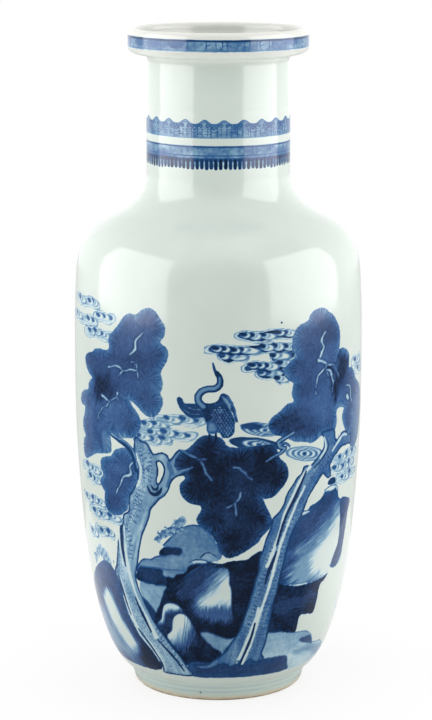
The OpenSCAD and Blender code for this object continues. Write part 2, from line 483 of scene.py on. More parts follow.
def stretches(skin, points, widths):
    """Cells along a stroke, a few points at a time, and how far they lie inside it. Its width may change."""
    widths = np.atleast_1d(widths)
    half = np.interp(np.linspace(0, 1, len(points)), np.linspace(0, 1, len(widths)), widths / 2)
    for start in range(0, len(points) - 1, STROKE_RUN):
        part = points[start:start + STROKE_RUN + 1]
        index, arc, height = skin.window(part, SPREAD + max(widths) / 2)
        inside = np.full(arc.shape, FAR)
        for i in range(len(part) - 1):
            x, y, t = off_stretch(part[i], part[i + 1], arc, height)
            wide = half[start + i] + (half[start + i + 1] - half[start + i]) * t
            inside = np.maximum(inside, wide - np.hypot(x, y))
        yield index, arc, height, inside


def inside_outline(points, arc, height):
    """Signed distance inside a closed outline."""
    near = np.full(arc.shape, np.inf)
    odd = np.zeros(arc.shape, bool)
    for start, end in zip(points, np.roll(points, -1, axis=0)):
        x, y, _ = off_stretch(start, end, arc, height)
        near = np.minimum(near, x ** 2 + y ** 2)
        (ax, ay), (bx, by) = start, end
        if by != ay:
            odd ^= ((height >= ay) != (height >= by)) & (arc < ax + (height - ay) * (bx - ax) / (by - ay))
    return np.where(odd, 1, -1) * np.sqrt(near)


def cells_round(skin, outline, room):
    """Cells round a closed outline, their places, and how far they lie inside it."""
    points = curve(outline, closed=True)
    index, arc, height = skin.window(points, room)
    return index, arc, height, inside_outline(points, arc, height)


def beside(path, arc, height):
    """How far along a path each place lies, and how far to its right."""
    near = np.full(arc.shape, np.inf)
    onward, right = np.zeros(arc.shape), np.zeros(arc.shape)
    run = 0.0
    for (ax, ay), (bx, by) in zip(path, path[1:]):
        size = math.hypot(bx - ax, by - ay)
        dx, dy = (bx - ax) / size, (by - ay) / size
        ahead = (arc - ax) * dx + (height - ay) * dy
        held = np.clip(ahead, 0, size)
        away = np.hypot(arc - ax - held * dx, height - ay - held * dy)
        closer = away < near
        near = np.where(closer, away, near)
        onward = np.where(closer, run + ahead, onward)
        right = np.where(closer, (arc - ax) * dy - (height - ay) * dx, right)
        run += size
    return onward, right


def turned(arc, height, degrees):
    """Places measured along and across an angle."""
    c, s = math.cos(math.radians(degrees)), math.sin(math.radians(degrees))
    return arc * c + height * s, height * c - arc * s


def wash(skin, outline, tone, rim=0.0, fade=None):
    """Wash of one tone, with faint level streaks. rim darkens its edge, and fade is (degrees, low, high, tone) for
    a change across it."""
    index, arc, height, inside = cells_round(skin, outline, WASH_ROOM)
    inside = inside + 0.6 * skin.noise(arc / 2.2, height / 2.2)
    blue = tone + 0.1 * skin.noise(arc / 8, height / 8, 3) + 0.06 * skin.noise(arc / 1.7, height / 2.6, 4)
    if fade:
        degrees, low, high, end_tone = fade
        onward, _ = turned(arc, height, degrees)
        blue = blue + (end_tone - tone) * smooth(low, high, onward + 4 * skin.noise(arc / 5, height / 5, 5))
    skin.lay(index, inside, blue + rim * smooth(2.2, 0.3, inside))
    skin.comb(index, inside, height / WASH_STREAK[0], arc / WASH_STREAK[1], WASH_STREAKS)


def bark(skin, outline, tone, path, left, right):
    """Trunk: a wash with bark scales along a path, more or less of them left and right of it."""
    wash(skin, outline, tone, rim=0.12)
    index, arc, height, inside = cells_round(skin, outline, WASH_ROOM)
    onward, side = beside(curve(path), arc, height)
    skin.tone[index] += np.where(inside > -1, 0.22 * skin.noise(side / 2.2, onward / 22, 14), 0)
    strength = left + (right - left) * smooth(-1.5, 1.5, side + 3 * skin.noise(onward / 9, side / 9, 17))
    skin.comb(index, inside, side / BARK_SCALE[0], onward / BARK_SCALE[1], -strength)


def stroke(skin, points, widths, tone, closed=False):
    """One brush line."""
    points = curve(points, closed=closed)
    if closed:
        points = np.concatenate([points, points[:1]])
    for index, arc, height, inside in stretches(skin, points, widths):
        skin.draw(index, inside + 0.3 * skin.noise(arc / 1.5, height / 1.5, 5), tone)


def tint(skin, points, widths, tone, soft=WASH_EDGE):
    """Changes the blue of a wash along a stroke, and hides the lines there: pale for a reserved line."""
    for index, arc, height, inside in stretches(skin, curve(points), widths):
        inside = inside + 0.4 * skin.noise(arc / 1.4, height / 1.4, 6)
        inside = inside + 0.45 * skin.noise(arc / 4, height / 4, 9)
        cover = smooth(-soft, soft, inside)
        skin.tone[index] = skin.tone[index] * (1 - cover) + tone * cover
        skin.line[index] = np.minimum(skin.line[index], -inside)
        skin.hairs[2][index] *= 1 - cover


def light(skin, outline, tone, soft, degrees, long=14.0, breadth=1.6, strength=1.0, hairs=0.35, within=None):
    """Streaky light or dark face on a rock, brushed out along an angle, and kept within a crisp outline."""
    index, arc, height, inside = cells_round(skin, outline, 2 * soft + 4)
    u, v = turned(arc, height, degrees)
    streak = skin.noise(u / long, v / breadth, 12) + 0.6 * skin.noise(u / long / 2, v / breadth * 2.1, 13)
    cover = smooth(-soft, soft, inside + strength * soft * streak)
    if within:
        kept = inside_outline(curve(within, closed=True), arc, height)
        inside = np.minimum(inside, kept)
        cover = cover * smooth(-FACE_EDGE, FACE_EDGE, kept)
    skin.tone[index] = skin.tone[index] * (1 - cover) + tone * cover
    skin.line[index] = np.minimum(skin.line[index], -inside)
    if hairs:
        covered = np.where(cover > 0.02, 1, -2)
        shown = hairs * 4 * cover * (1 - cover)
        skin.comb(index, covered, v / FACE_STREAK[0], u / FACE_STREAK[1], shown)


def foliage(skin, outline, tone, feet):
    """Pine foliage: needles fan out from the feet of the tufts, over soft darker and lighter patches."""
    index, arc, height, inside = cells_round(skin, outline, FOLIAGE_ROOM)
    nearest = np.full(arc.shape, np.inf)
    fan = np.zeros(arc.shape)
    sway = 5 * skin.noise(arc / 6, height / 6, 16)
    for foot_arc, foot_height in feet:
        away = np.hypot(arc - foot_arc, height - foot_height) + sway
        fan = np.where(away < nearest, np.arctan2(height - foot_height, arc - foot_arc) + foot_arc, fan)
        nearest = np.minimum(nearest, away)
    patch = skin.noise(arc / 17, height / 17, 9) + 0.6 * skin.noise(arc / 7, height / 7, 10)
    skin.lay(index, inside + 0.4 * skin.noise(fan * 9, nearest / 6, 7),
             tone + 0.16 * patch - 0.12 * smooth(5.0, 0.5, inside) + 0.05 * smooth(14, 3, nearest))
    skin.comb(index, inside, fan * 11, nearest / 9, 0.14 + 0.14 * smooth(12, 2, inside))


def twig(skin, points, widths, tone=0.14, shade=0.85):
    """Pale branch left in the foliage: knotty, with dark sides."""
    points = curve(points, step=3)
    points[1:-1] += skin.random.normal(0, 0.4, (len(points) - 2, 2))
    widths = [0.72 * wide for wide in widths]
    tint(skin, points, [wide + 1.5 for wide in widths], shade, soft=0.9)
    tint(skin, points, widths, tone, soft=0.35)


def scales(skin, path, rows, tone=0.6):
    """Bark scales: rows of small bowed marks beside a path, each row at its own distance to its right."""
    points = curve(path, step=SCALE_GAP)
    ahead = np.gradient(points, axis=0)
    ahead /= np.linalg.norm(ahead, axis=1)[:, None]
    right = np.stack([ahead[:, 1], -ahead[:, 0]], axis=1)
    for number, away in enumerate(rows):
        for i in range(number % 2, len(points) - 1):
            centre = points[i] + right[i] * away + skin.random.normal(0, 0.35, 2)
            size = skin.random.uniform(0.8, 1.2)
            bow = [centre + size * (math.cos(k) * right[i] + 0.8 * math.sin(k) * ahead[i])
                   for k in (0, 0.8, 1.6, 2.4, 3.1)]
            stroke(skin, bow, 0.7, tone + skin.random.uniform(-0.12, 0.12))


def scroll(skin, left, middle, long, tall, tones, head):
    """Curl of cloud: ovals one in another that close up at the left, the innermost of them its head."""
    index, arc, height = skin.window([(left, middle), (left + long, middle)], tall / 2 + 1)
    tilt = height - middle + 0.09 * (arc - left - 3) + 0.5 * skin.noise(arc / 4, height / 4, 20)
    for number, tone in enumerate(tones):
        part = number / (len(tones) - 1)
        half = (long + (head - long) * part) / 2
        thick = tall / 2 * (1 - 0.34 * part)
        away = np.hypot((arc - left - half + 0.3 * number) / half, (tilt - 0.2 * number) / thick)
        skin.draw(index, (1 - away) * thick, tone)


def swirl(skin, left, right, middle, tall, eye, tones):
    """Flat swirl of cloud: ovals one in another that close in on an eye."""
    index, arc, height = skin.window([(left, middle), (right, middle)], tall / 2 + 3)
    tilt = height - middle + 0.16 * (arc - eye) + 0.5 * skin.noise(arc / 5, height / 5, 20)
    for number, tone in enumerate(tones):
        part = number / (len(tones) - 1)
        centre = (left + right) / 2 * (1 - part) + eye * part
        half, thick = (right - left) / 2 * (1 - 0.88 * part), tall / 2 * (1 - 0.76 * part)
        skin.draw(index, (1 - np.hypot((arc - centre) / half, tilt / thick)) * thick, tone)


def cloud(skin, left, right, middle, eyes, fill=0.84):
    """Tier of cloud: a flat band with a thin line round it, and curls along it from right to left."""
    reach = (right - left) / 2
    index, arc, height = skin.window([(left, middle - CLOUD_TALL), (right, middle + CLOUD_TALL)], WASH_ROOM)
    out = (arc - left) / reach - 1
    up = (height - middle - 0.7 * np.sin(out * 5 + left)) / (CLOUD_TALL / 2)
    body = (1 - np.sqrt(np.abs(out) ** 5 + up ** 2)) * CLOUD_TALL / 2
    body = body + 0.7 * skin.noise(arc / 3, height / 3, 18)
    skin.draw(index, 0.3 - np.abs(body + 0.9), 0.42)
    skin.lay(index, body, fill + 0.2 * skin.noise(arc / 8, height / 2, 11) + 0.1 * smooth(0.1, 0.7, up))
    skin.comb(index, body, height / FACE_STREAK[0], arc / FACE_STREAK[1], CLOUD_STREAKS)
    dark = 0.62 + 0.36 * fill
    for eye, following in reversed(list(zip(eyes, (*eyes[1:], right + 2)))):
        long = min(following - eye + 1.6, 15.0)
        z = middle + 0.7 * math.sin(((eye - left) / reach - 1) * 5 + left)
        tones = (fill, 0.0, 0.0, dark) if long < 8.5 else (0.5, 0.0, 0.0, 0.45, 0.0, dark)
        tall = CLOUD_TALL * skin.random.uniform(0.76, 0.94)
        scroll(skin, eye - 2.4, z + 0.3, long, tall, tones, skin.random.uniform(4.4, 6.2))


def shrub(skin, spots, size, tone):
    """Leaves scribbled over a thin wash round some spots."""
    for spot in spots:
        index, arc, height = skin.window([spot], 4 * size)
        away = np.hypot(arc - spot[0], height - spot[1])
        skin.lay(index, 1.7 * size - away + 2.5 * skin.noise(arc / 2, height / 2, 19), 0.5 * tone)
        for _ in range(9):
            centre = np.asarray(spot) + skin.random.normal(0, size, 2)
            turn = skin.random.uniform(0, 6.28)
            leaf = np.array([[math.cos(turn + k), math.sin(turn + k)] for k in (0, 1.6, 3.2)])
            stroke(skin, centre + leaf * size * 0.5, 0.8, tone + skin.random.uniform(-0.15, 0.15))


# Outlines of the painting as (arc, height) in millimetres: to the right of the front, and up from the table. The
# feet of a pine are the places from which the needles of its tufts fan out
PINE_LEFT = [
    (-57.8, 276.3), (-52, 280.5), (-46.7, 281.9), (-42, 279.5), (-39.5, 276), (-36, 271.5), (-35.2, 268),
    (-36.5, 263), (-38.9, 259.4), (-34.4, 256.1), (-33.1, 252.2), (-34.4, 246.7), (-38.3, 239.4), (-37.2, 234.4),
    (-37.2, 228.9), (-38.9, 225), (-36.9, 221.1), (-37.8, 215.6), (-40.6, 211.1), (-44.4, 208.3), (-50, 209),
    (-55.6, 213.9), (-60, 217.2), (-62.8, 218), (-61.1, 215.6), (-57.8, 212.2), (-54.4, 207.2), (-53.1, 202.2),
    (-55.6, 196.7), (-59.4, 192.8), (-65, 191.5), (-72, 190.6), (-80, 191.7), (-79.8, 184.4), (-81, 178.9),
    (-90, 176.7), (-98.9, 174.4), (-107.8, 170.6), (-114.4, 168.3), (-118.3, 170), (-119.4, 175.6), (-117.8, 181),
    (-113.8, 184.4), (-117.2, 187.8), (-118.3, 191.7), (-116.7, 196.7), (-114.4, 200), (-113, 205), (-118.9, 205.6),
    (-122, 208), (-120.5, 212.2), (-114.4, 216.1), (-107.2, 218.3), (-106.7, 222.2), (-103.3, 225.6),
    (-100.5, 227.5), (-105.6, 229.8), (-109.4, 233.3), (-111.7, 238.3), (-110, 241.7), (-105.6, 243.9),
    (-100, 245.6), (-97.2, 247.8), (-91.1, 249.2), (-84, 249.2), (-80.8, 251.3), (-81.7, 255.6), (-80.6, 260),
    (-77.8, 262.2), (-74.4, 265.6), (-71.7, 268.3), (-69.4, 271.7), (-65.6, 275.6), (-61.1, 276.9)]
PINE_LEFT_FEET = [
    (-50, 267), (-62, 264), (-70, 256), (-46, 250), (-48, 234), (-48, 219), (-60, 248), (-60, 232), (-74, 243),
    (-90, 238), (-101, 236), (-92, 222), (-78, 226), (-108, 212), (-64, 204), (-76, 202), (-92, 206), (-104, 194),
    (-106, 180), (-88, 188)]
PAD_LEFT = [
    (-68.7, 184.4), (-64, 183.8), (-61, 180.6), (-59.4, 175.6), (-56.7, 170), (-57, 162.2), (-59, 157.8),
    (-62.2, 153.3), (-65.6, 147.8), (-67.2, 141), (-71.1, 138.3), (-73.3, 136.1), (-77.8, 135.3), (-80.6, 134.4),
    (-83.3, 135), (-86.7, 136.1), (-90, 140), (-90.6, 145.6), (-89.6, 150), (-91.5, 151.3), (-94.4, 155),
    (-93.9, 158.5), (-90.2, 162.2), (-92.8, 165.6), (-92.8, 170.6), (-90, 173.9), (-84.4, 175.6), (-80, 177.2),
    (-77.2, 181.1), (-72.2, 183.3)]
PAD_LEFT_FEET = [(-70, 174), (-84, 166), (-70, 160), (-85, 152), (-76, 147), (-82, 141)]
TRUNK_LEFT = [
    (-57.8, 193.3), (-58.9, 188.9), (-59.2, 182), (-57.4, 175), (-56.7, 168.9), (-57.2, 162.2), (-59.4, 158.9),
    (-62.2, 154.4), (-64.4, 151.7), (-65.6, 145.6), (-66.1, 140), (-71.1, 136.7), (-72.2, 130.6), (-75.6, 126.7),
    (-77.2, 121.1), (-78.9, 115.6), (-80, 110), (-81.7, 103.3), (-82.8, 98.9), (-85.6, 93.9), (-84.4, 88.9),
    (-82.2, 84.4), (-81.1, 80), (-80, 72.2), (-78.3, 67.8), (-74.4, 59.4), (-70, 51.7), (-63.3, 43.9),
    (-56.7, 37.8), (-52.2, 31.1), (-51.7, 25.6), (-53.3, 22), (-40, 21.5), (-24.4, 22.2), (-27.8, 28.9),
    (-32.2, 36.7), (-37.8, 43.3), (-43.3, 50.6), (-48.3, 56.7), (-52.2, 62.2), (-55.6, 68.9), (-58.9, 75.6),
    (-62.2, 83.3), (-63.9, 88.9), (-64.7, 94.4), (-62.8, 100), (-61.1, 105.6), (-60, 111.1), (-57.8, 118.9),
    (-55.6, 125.6), (-52.2, 132.2), (-49.4, 138.9), (-47.8, 144.4), (-44.4, 148.3), (-41.1, 152.2), (-37.8, 154.4),
    (-34.4, 158.9), (-32.2, 165), (-27.8, 169.4), (-22, 171.1), (-18, 175), (-19, 185), (-24.4, 187.8),
    (-27.8, 185.6), (-31.1, 181.1), (-32.8, 179.4), (-34.4, 182.8), (-37.8, 184.4), (-42.2, 183.3), (-44.4, 182.8),
    (-46.7, 186.1), (-49.4, 190), (-53.3, 190.8)]
TRUNK_LEFT_HOLE = [
    (-40.6, 178.9), (-37.8, 177.2), (-36.4, 173.3), (-37.8, 167.8), (-40.6, 162.8), (-42.2, 162.2), (-42.8, 165),
    (-41.7, 170), (-41.7, 174.4), (-42.4, 177.8)]
PINE_CENTRE = [
    (-25, 186), (-20, 188.9), (-16.7, 192.2), (-12.2, 196.7), (-7.8, 198.3), (-1.1, 197.8), (3.3, 195),
    (5.6, 191.1), (10, 190), (18.9, 190), (27.8, 190.6), (36.7, 190.6), (40, 185.6), (42.2, 180), (46.1, 176.7),
    (48.3, 172.2), (48.7, 167.8), (46.1, 162.2), (41.1, 156.7), (36.7, 153.6), (31.1, 153.3), (29.4, 154.6),
    (30.6, 152.4), (33.3, 146.7), (36.7, 140), (37.6, 136.1), (35, 131.1), (30.6, 126.7), (27.8, 122.8),
    (22.2, 118.9), (16.7, 115.6), (10, 112.8), (5.6, 112.8), (2.2, 115.6), (0.2, 118), (-1.1, 123.3), (-3.3, 127.2),
    (-6.1, 130.6), (-11.1, 133.9), (-14.4, 137.2), (-14.7, 141.1), (-11.7, 146.1), (-12.2, 149.4), (-18.9, 150.6),
    (-23.3, 153.9), (-25.6, 157.8), (-26.1, 161.1), (-25.6, 164.4), (-22.2, 168.3), (-27, 172.5), (-29.5, 176),
    (-28.5, 181)]
PINE_CENTRE_FEET = [
    (-6, 188), (-16, 178), (-14, 162), (2, 176), (14, 180), (30, 180), (38, 168), (22, 166), (4, 160), (-2, 144),
    (12, 148), (24, 142), (24, 128), (10, 124)]
PINE_RIGHT = [
    (62.8, 271.7), (64.4, 275), (67.8, 277.8), (73.3, 279.1), (78.9, 278.3), (82.2, 275.6), (86.7, 272.8),
    (90.6, 268.3), (93.6, 263.3), (94.7, 257.8), (94.4, 252.2), (93.6, 248.3), (97.8, 248.7), (103.3, 246.7),
    (107.2, 242.8), (107.8, 237.8), (107.6, 233.3), (112.2, 232.8), (116.7, 228.9), (121.1, 223.3), (126.7, 220),
    (131.1, 217.2), (135.6, 212.2), (137.8, 204.4), (136.7, 193.3), (132.2, 182.2), (126.7, 176.7), (120, 174.4),
    (114.4, 176.1), (111.7, 180), (111.7, 185.6), (108.9, 187.8), (104.4, 190), (100.6, 194.4), (98.3, 200),
    (99.4, 204.4), (100.6, 206.7), (96.7, 207.8), (92, 207.2), (91.1, 203.3), (92, 198.9), (90.6, 194.4),
    (87.8, 192.2), (82.2, 192.8), (76.7, 192.2), (71.1, 189.4), (66.7, 188), (61.1, 189.4), (53.3, 190.6),
    (47.8, 193.3), (42.2, 195.6), (36.7, 197.2), (33.9, 200.6), (33.1, 204.4), (35.6, 208.9), (40, 211.7),
    (43.3, 214.4), (46.7, 217.2), (51.4, 218.3), (50, 223.3), (50.9, 228.9), (51.4, 230.8), (46.7, 233.9),
    (44.4, 236.7), (44.2, 241.1), (47.2, 244.4), (50, 246.7), (52.8, 249.4), (50.2, 253.3), (50, 257.8),
    (51.1, 263.3), (53.3, 267.2), (56.7, 270)]
PINE_RIGHT_FEET = [
    (73, 266), (62, 260), (84, 260), (58, 240), (68, 246), (82, 244), (97, 240), (60, 226), (74, 230), (88, 228),
    (104, 226), (46, 205), (58, 206), (70, 204), (84, 206), (110, 206), (118, 214), (112, 196), (126, 200),
    (122, 186)]
TRUNK_RIGHT = [
    (75.6, 193.5), (77.8, 190.6), (78.9, 185.6), (78.3, 182.2), (74.4, 178.3), (68.9, 173.3), (65, 172.2),
    (61.1, 172.2), (59.4, 167.8), (55.6, 165), (52.2, 160), (49.4, 156.7), (47.2, 152.2), (46.1, 147.8),
    (42.2, 142.2), (38.3, 138.9), (37.2, 133.3), (35.6, 128.9), (33.3, 123.3), (31.7, 116.7), (29.4, 111.1),
    (28.9, 101.1), (27.2, 96.7), (25.6, 88.9), (23.9, 83.3), (22.8, 77.8), (20.6, 71.1), (18.3, 63.3), (15.6, 56.7),
    (11.1, 50.6), (7.2, 44.4), (2.2, 39.4), (-3.3, 36.1), (-8.9, 32.6), (-15.6, 31.6), (-21.1, 31.2), (-17.8, 28.8),
    (-10, 28.3), (-3.3, 30.6), (3.3, 33), (7.8, 32.2), (10, 30), (15.6, 32.2), (18.9, 31.1), (22.2, 32.2),
    (26.7, 35.6), (31.1, 33.3), (35.6, 33.3), (39.4, 35.6), (36.7, 38.9), (38.3, 45.6), (39.4, 53.3), (40, 62.2),
    (41.1, 71.1), (42.2, 78.9), (43.9, 84.4), (45, 91.1), (46.1, 97.8), (47.8, 104.4), (49.4, 112.2), (51.1, 118.9),
    (53.3, 125.6), (56.1, 131.1), (60, 137), (62.8, 143.3), (65.6, 150), (68.9, 154.4), (74.4, 160.6), (78.9, 165),
    (80.6, 163.3), (84.4, 160.6), (86.7, 161), (86.4, 165.6), (85.6, 168.9), (88.9, 173.9), (93.3, 176.7),
    (97.8, 179.4), (102.2, 180), (108.9, 180), (113, 179.5), (113.3, 185.6), (108.9, 186.7), (105.6, 188.9),
    (100, 190), (96.7, 187.8), (92.2, 185), (90.6, 186.7), (88.9, 193.5), (82, 194)]
ROCK_LEAF = [
    (-97, 98.5), (-103, 97), (-110, 93), (-118, 88), (-128, 80), (-140, 68), (-150, 58), (-158, 45), (-155, 32),
    (-140, 24), (-120, 22.5), (-100, 22), (-70, 22), (-58, 23), (-52, 27), (-52.5, 31), (-57, 38), (-64, 44.5),
    (-71, 52.5), (-76, 61), (-79.5, 70), (-81, 78), (-82.5, 84), (-86, 93), (-91, 97)]
ROCK_CENTRE = [
    (-38, 97), (-33, 96), (-30, 99.5), (-24, 101), (-21, 106), (-14, 109), (-5, 109.5), (2, 108.5), (8, 110),
    (14, 110.5), (20, 110.8), (25, 114.5), (31, 116), (32, 108), (30, 96), (27, 88), (24, 78), (22, 70), (18, 60),
    (14, 54), (11, 52.5), (3, 53.5), (-2, 56), (-8, 57.5), (-13, 57), (-16, 60.5), (-19, 66), (-21, 70),
    (-28, 73.5), (-30, 77.5), (-36, 79), (-38, 85)]
ROCK_WHITE_TOP = [
    (-41.5, 53), (-37, 57), (-35.8, 62.5), (-34.5, 67), (-31, 70), (-27, 70.6), (-23.5, 68.6), (-20.5, 64),
    (-18, 58.5), (-14, 52), (-8, 49.5), (-4, 46), (2, 42.5), (3, 40), (-2, 36), (-6, 33), (-14, 31.5), (-22, 31.5),
    (-26, 31), (-30, 37), (-36, 44), (-40, 49)]
ROCK_FACE = [
    (-38, 96), (-24, 103), (-8, 105), (4, 105.5), (7.4, 103), (7.6, 94), (9, 89.5), (9.4, 77), (9, 64), (-14, 62),
    (-34, 70)]
ROCK_SMALL = [
    (-48.5, 61.5), (-45.5, 65.5), (-43.6, 71), (-42, 75.6), (-38, 77.8), (-32.5, 77.6), (-29, 75.5), (-27, 72),
    (-31, 66), (-36, 58), (-42, 55), (-45, 51), (-50, 57)]
ROCK_RIGHT = [
    (58, 137.5), (64, 139), (68.5, 143.5), (75, 145.5), (80, 148.5), (82, 152), (87, 153), (94, 152.5), (97, 148.5),
    (101, 142.5), (114, 140.5), (121, 136.5), (118, 128), (115, 109), (113, 97), (108, 93),
    (103, 92.5), (97, 94), (95.5, 96.5), (94, 92), (88, 88.5), (70, 88), (52, 89.5), (42, 92), (43, 98), (47, 108),
    (49, 118), (53, 127)]


def paint_far_clouds(skin):
    """Cloud tiers behind the pines: pale ones left, centre and far right, darker ones over the crane."""
    for left, right, middle, eyes in [
            (-133, -94, 278.5, (-122, -105, -99)), (-98, -76, 271, (-92.5, -86, -79.5)),
            (-140, -96, 266, (-128, -106, -100)), (-111, -78, 259, (-103, -95.5, -88)),
            (-122, -94, 163, (-112, -104)), (-115, -94, 156, (-109, -103)), (-125, -90, 140, (-118, -106, -98)),
            (-113, -74, 132, (-106, -96, -85)), (-107, -83, 120, (-97, -88)), (-120, -104, 116.5, (-113,)),
            (-42, -9, 207.6, (-33, -22.5, -14.5)), (-54, -34, 203, (-50, -43)),
            (-55, -16, 197.6, (-45, -35.5, -27.5, -20.5)), (-58, -32, 193, (-54, -44, -37)),
            (88, 126, 172, (99, 109, 118)), (86, 122, 164.5, (92, 103, 114)), (95, 128, 157, (104, 116)),
            (112, 134, 236, (120,)), (118, 140, 229, (127,))]:
        cloud(skin, left, right, middle, eyes, fill=0.15)
    for left, right, middle, eyes in [
            (0, 19, 251.2, (3, 9)), (25, 45, 239, (28, 33)), (38, 48, 234.8, (40.5,)), (35, 52, 249.8, (37.5,)),
            (12.5, 53, 264.5, (16.8, 22.5, 29.5, 40, 46.5)),
            (-6.5, 53, 255.6, (-2, 3.6, 9.4, 16, 30.5, 38.5, 45.5)), (17, 50, 243.8, (22, 27, 32.5, 42))]:
        cloud(skin, left, right, middle, eyes)
    swirl(skin, 14.5, 43, 201, 9.4, 31, (0.6, 0.0, 0.72, 0.05, 0.75, 0.0, 0.7))
    scroll(skin, 14.5, 204.3, 15, 4.4, (0.8, 0.75), 9)
    swirl(skin, 7, 42, 191.2, 9.0, 27, (0.85, 0.8, 0.78, 0.0, 0.78, 0.0, 0.75))
    swirl(skin, 46, 78, 181.4, 10.4, 61, (0.5, 0.0, 0.62, 0.0, 0.65, 0.0, 0.8))


def paint_hills(skin):
    """Pale hills with dark ledges between the two trunks."""
    wash(skin, [(-45, 101), (-43, 112), (-36, 120), (-26, 119), (-22, 110), (-26, 98), (-34, 94.5), (-42, 96)],
         0.34)
    wash(skin, [(-39.5, 119.5), (-36, 123), (-31, 128), (-25, 133), (-19, 135.5), (-13, 135.2), (-7, 131.5),
                (-2, 124), (2, 117), (0.5, 111), (-10, 110), (-22, 111), (-26, 115.5), (-33, 118)], 0.42, rim=0.08)
    wash(skin, [(-43, 112.5), (-39.5, 118), (-33, 118.8), (-26, 118.5), (-26.5, 113.8), (-33, 113), (-38, 112)],
         0.92)
    near_hill = [(-63, 98), (-60, 103.5), (-56, 107.5), (-49, 108.5), (-45, 111), (-38, 112.3), (-30, 113.5),
                 (-20, 112), (-17, 108), (-20, 103), (-30, 101), (-45, 101), (-58, 101)]
    wash(skin, near_hill, 0.38, rim=0.06)
    wash(skin, [(-64.5, 94.5), (-60, 101), (-57, 102.3), (-42, 102.3), (-40, 98), (-34, 96.5), (-28, 95.5),
                (-34, 91.5), (-38, 89.8), (-50, 89.5), (-60, 91), (-63, 91.5)], 0.88)
    wash(skin, [(-60.5, 90), (-50, 89.6), (-37, 89.8), (-37, 83), (-41, 79.5), (-43, 73), (-47, 66), (-51, 70),
                (-55, 75), (-60, 79.5)], 0.28, rim=0.05)
    wash(skin, [(-60, 79.5), (-54, 75), (-48.5, 68.5), (-47.5, 64), (-50, 60), (-55, 66), (-59, 74)], 0.82)
    stroke(skin, [(-39.5, 119.5), (-36, 123), (-31, 128), (-25, 133), (-19, 135.5), (-13, 135.4)], 1.0, 0.75)
    stroke(skin, near_hill[:6], 1.0, 0.75)
    stroke(skin, [(-58, 102), (-40, 102.4), (-24, 103)], 0.9, 0.6)
    stroke(skin, [(-50, 86), (-46, 82), (-43, 79)], 0.8, 0.45)
    stroke(skin, [(-56, 86), (-52, 82), (-48, 76)], 0.8, 0.4)
    shrub(skin, [(-43, 124), (-40, 127), (-37, 128.5), (-34, 129.5), (-30, 132), (-28, 136.5), (-25, 138),
                 (-27, 132)], 1.6, 0.55)


def paint_centre_rocks(skin):
    """Dark rocks with brushed white faces at the foot of the trunks."""
    wash(skin, [(-52, 62), (-44, 78), (-38, 90), (-20, 100), (0, 100), (24, 100), (20, 66), (12, 52), (4, 41),
                (-4, 33), (-26, 30), (-36, 40), (-46, 50)], 0.95)
    wash(skin, ROCK_CENTRE, 0.98)
    light(skin, [(-22, 101), (-10, 108), (-2, 107), (0, 99), (-8, 90), (-20, 84), (-30, 82), (-28, 92)], 0.8, 3, 40)
    for outline, tone, soft in [
            ([(9, 107), (0, 106), (-8, 97), (-15, 86), (-19, 76), (-12, 69), (10, 67), (14, 80), (13, 96)],
             0.62, 6),
            ([(12, 107), (2, 103), (-4, 95), (-10, 87), (-16, 79.5), (-10, 73.5), (2, 74.5), (13, 74), (14, 90)],
             0.3, 6),
            ([(12, 101), (4, 97), (0, 91.5), (-6, 86), (-12.5, 79.5), (-5, 77.5), (4, 79.5), (13, 78.5), (14, 92)],
             0.02, 4.5)]:
        light(skin, outline, tone, soft, 42, long=18, breadth=2.0, strength=0.55, within=ROCK_FACE)
    light(skin, [(-14, 73), (0, 76.5), (9, 75), (9.5, 67), (-4, 67)], 0.62, 3.2, 88, 9, 1.4, strength=1.1,
          within=ROCK_FACE)
    for outline, tone in (([(-12.5, 112.5), (-9, 116), (-5, 116), (-1, 113), (0, 110), (-5, 110.5), (-9, 111.5)],
                           0.34),
                          ([(-20, 109), (-16, 111), (-8, 110.6), (-8, 109), (-15, 108.6)], 0.14)):
        wash(skin, outline, tone)
        stroke(skin, outline[:4], 0.9, 0.85)
    wash(skin, [(-14, 57), (-8, 57.8), (-2, 56), (3, 53.8), (10, 53), (14, 54), (10, 49), (6, 45), (3, 40),
                (-1, 43), (-6, 46), (-9, 50)], 0.34, rim=0.06)
    wash(skin, ROCK_SMALL, 0.85)
    light(skin, [(-52, 62), (-48, 74), (-42, 82), (-28, 82), (-26, 75), (-33, 73), (-38.5, 71.5), (-42, 67.5),
                 (-45, 62)], 0.08, 2.4, 80, long=8, breadth=1.8, strength=0.7, within=ROCK_SMALL)
    stroke(skin, [(-48.8, 62.8), (-45.4, 65), (-43.8, 71), (-42, 76), (-37, 78.6), (-31, 78)], 1.0, 0.9)
    wash(skin, ROCK_WHITE_TOP, 0.97)
    for outline, tone, soft in [
            ([(-44, 56), (-40, 62), (-38, 71), (-27, 76), (-17, 71), (-16, 60), (-22, 49), (-30, 43), (-42, 45)],
             0.58, 6),
            ([(-46, 56), (-41, 60), (-39, 71), (-28, 76), (-22, 72), (-21, 64), (-25, 57), (-30, 50), (-42, 48)],
             0.22, 4.5),
            ([(-46, 57), (-41, 61), (-39.5, 71), (-29, 76), (-25, 71), (-26, 63), (-30, 57), (-36, 51.5),
              (-44, 52)], 0.02, 3.4)]:
        light(skin, outline, tone, soft, 78, long=13, breadth=1.8, strength=0.5, within=ROCK_WHITE_TOP)


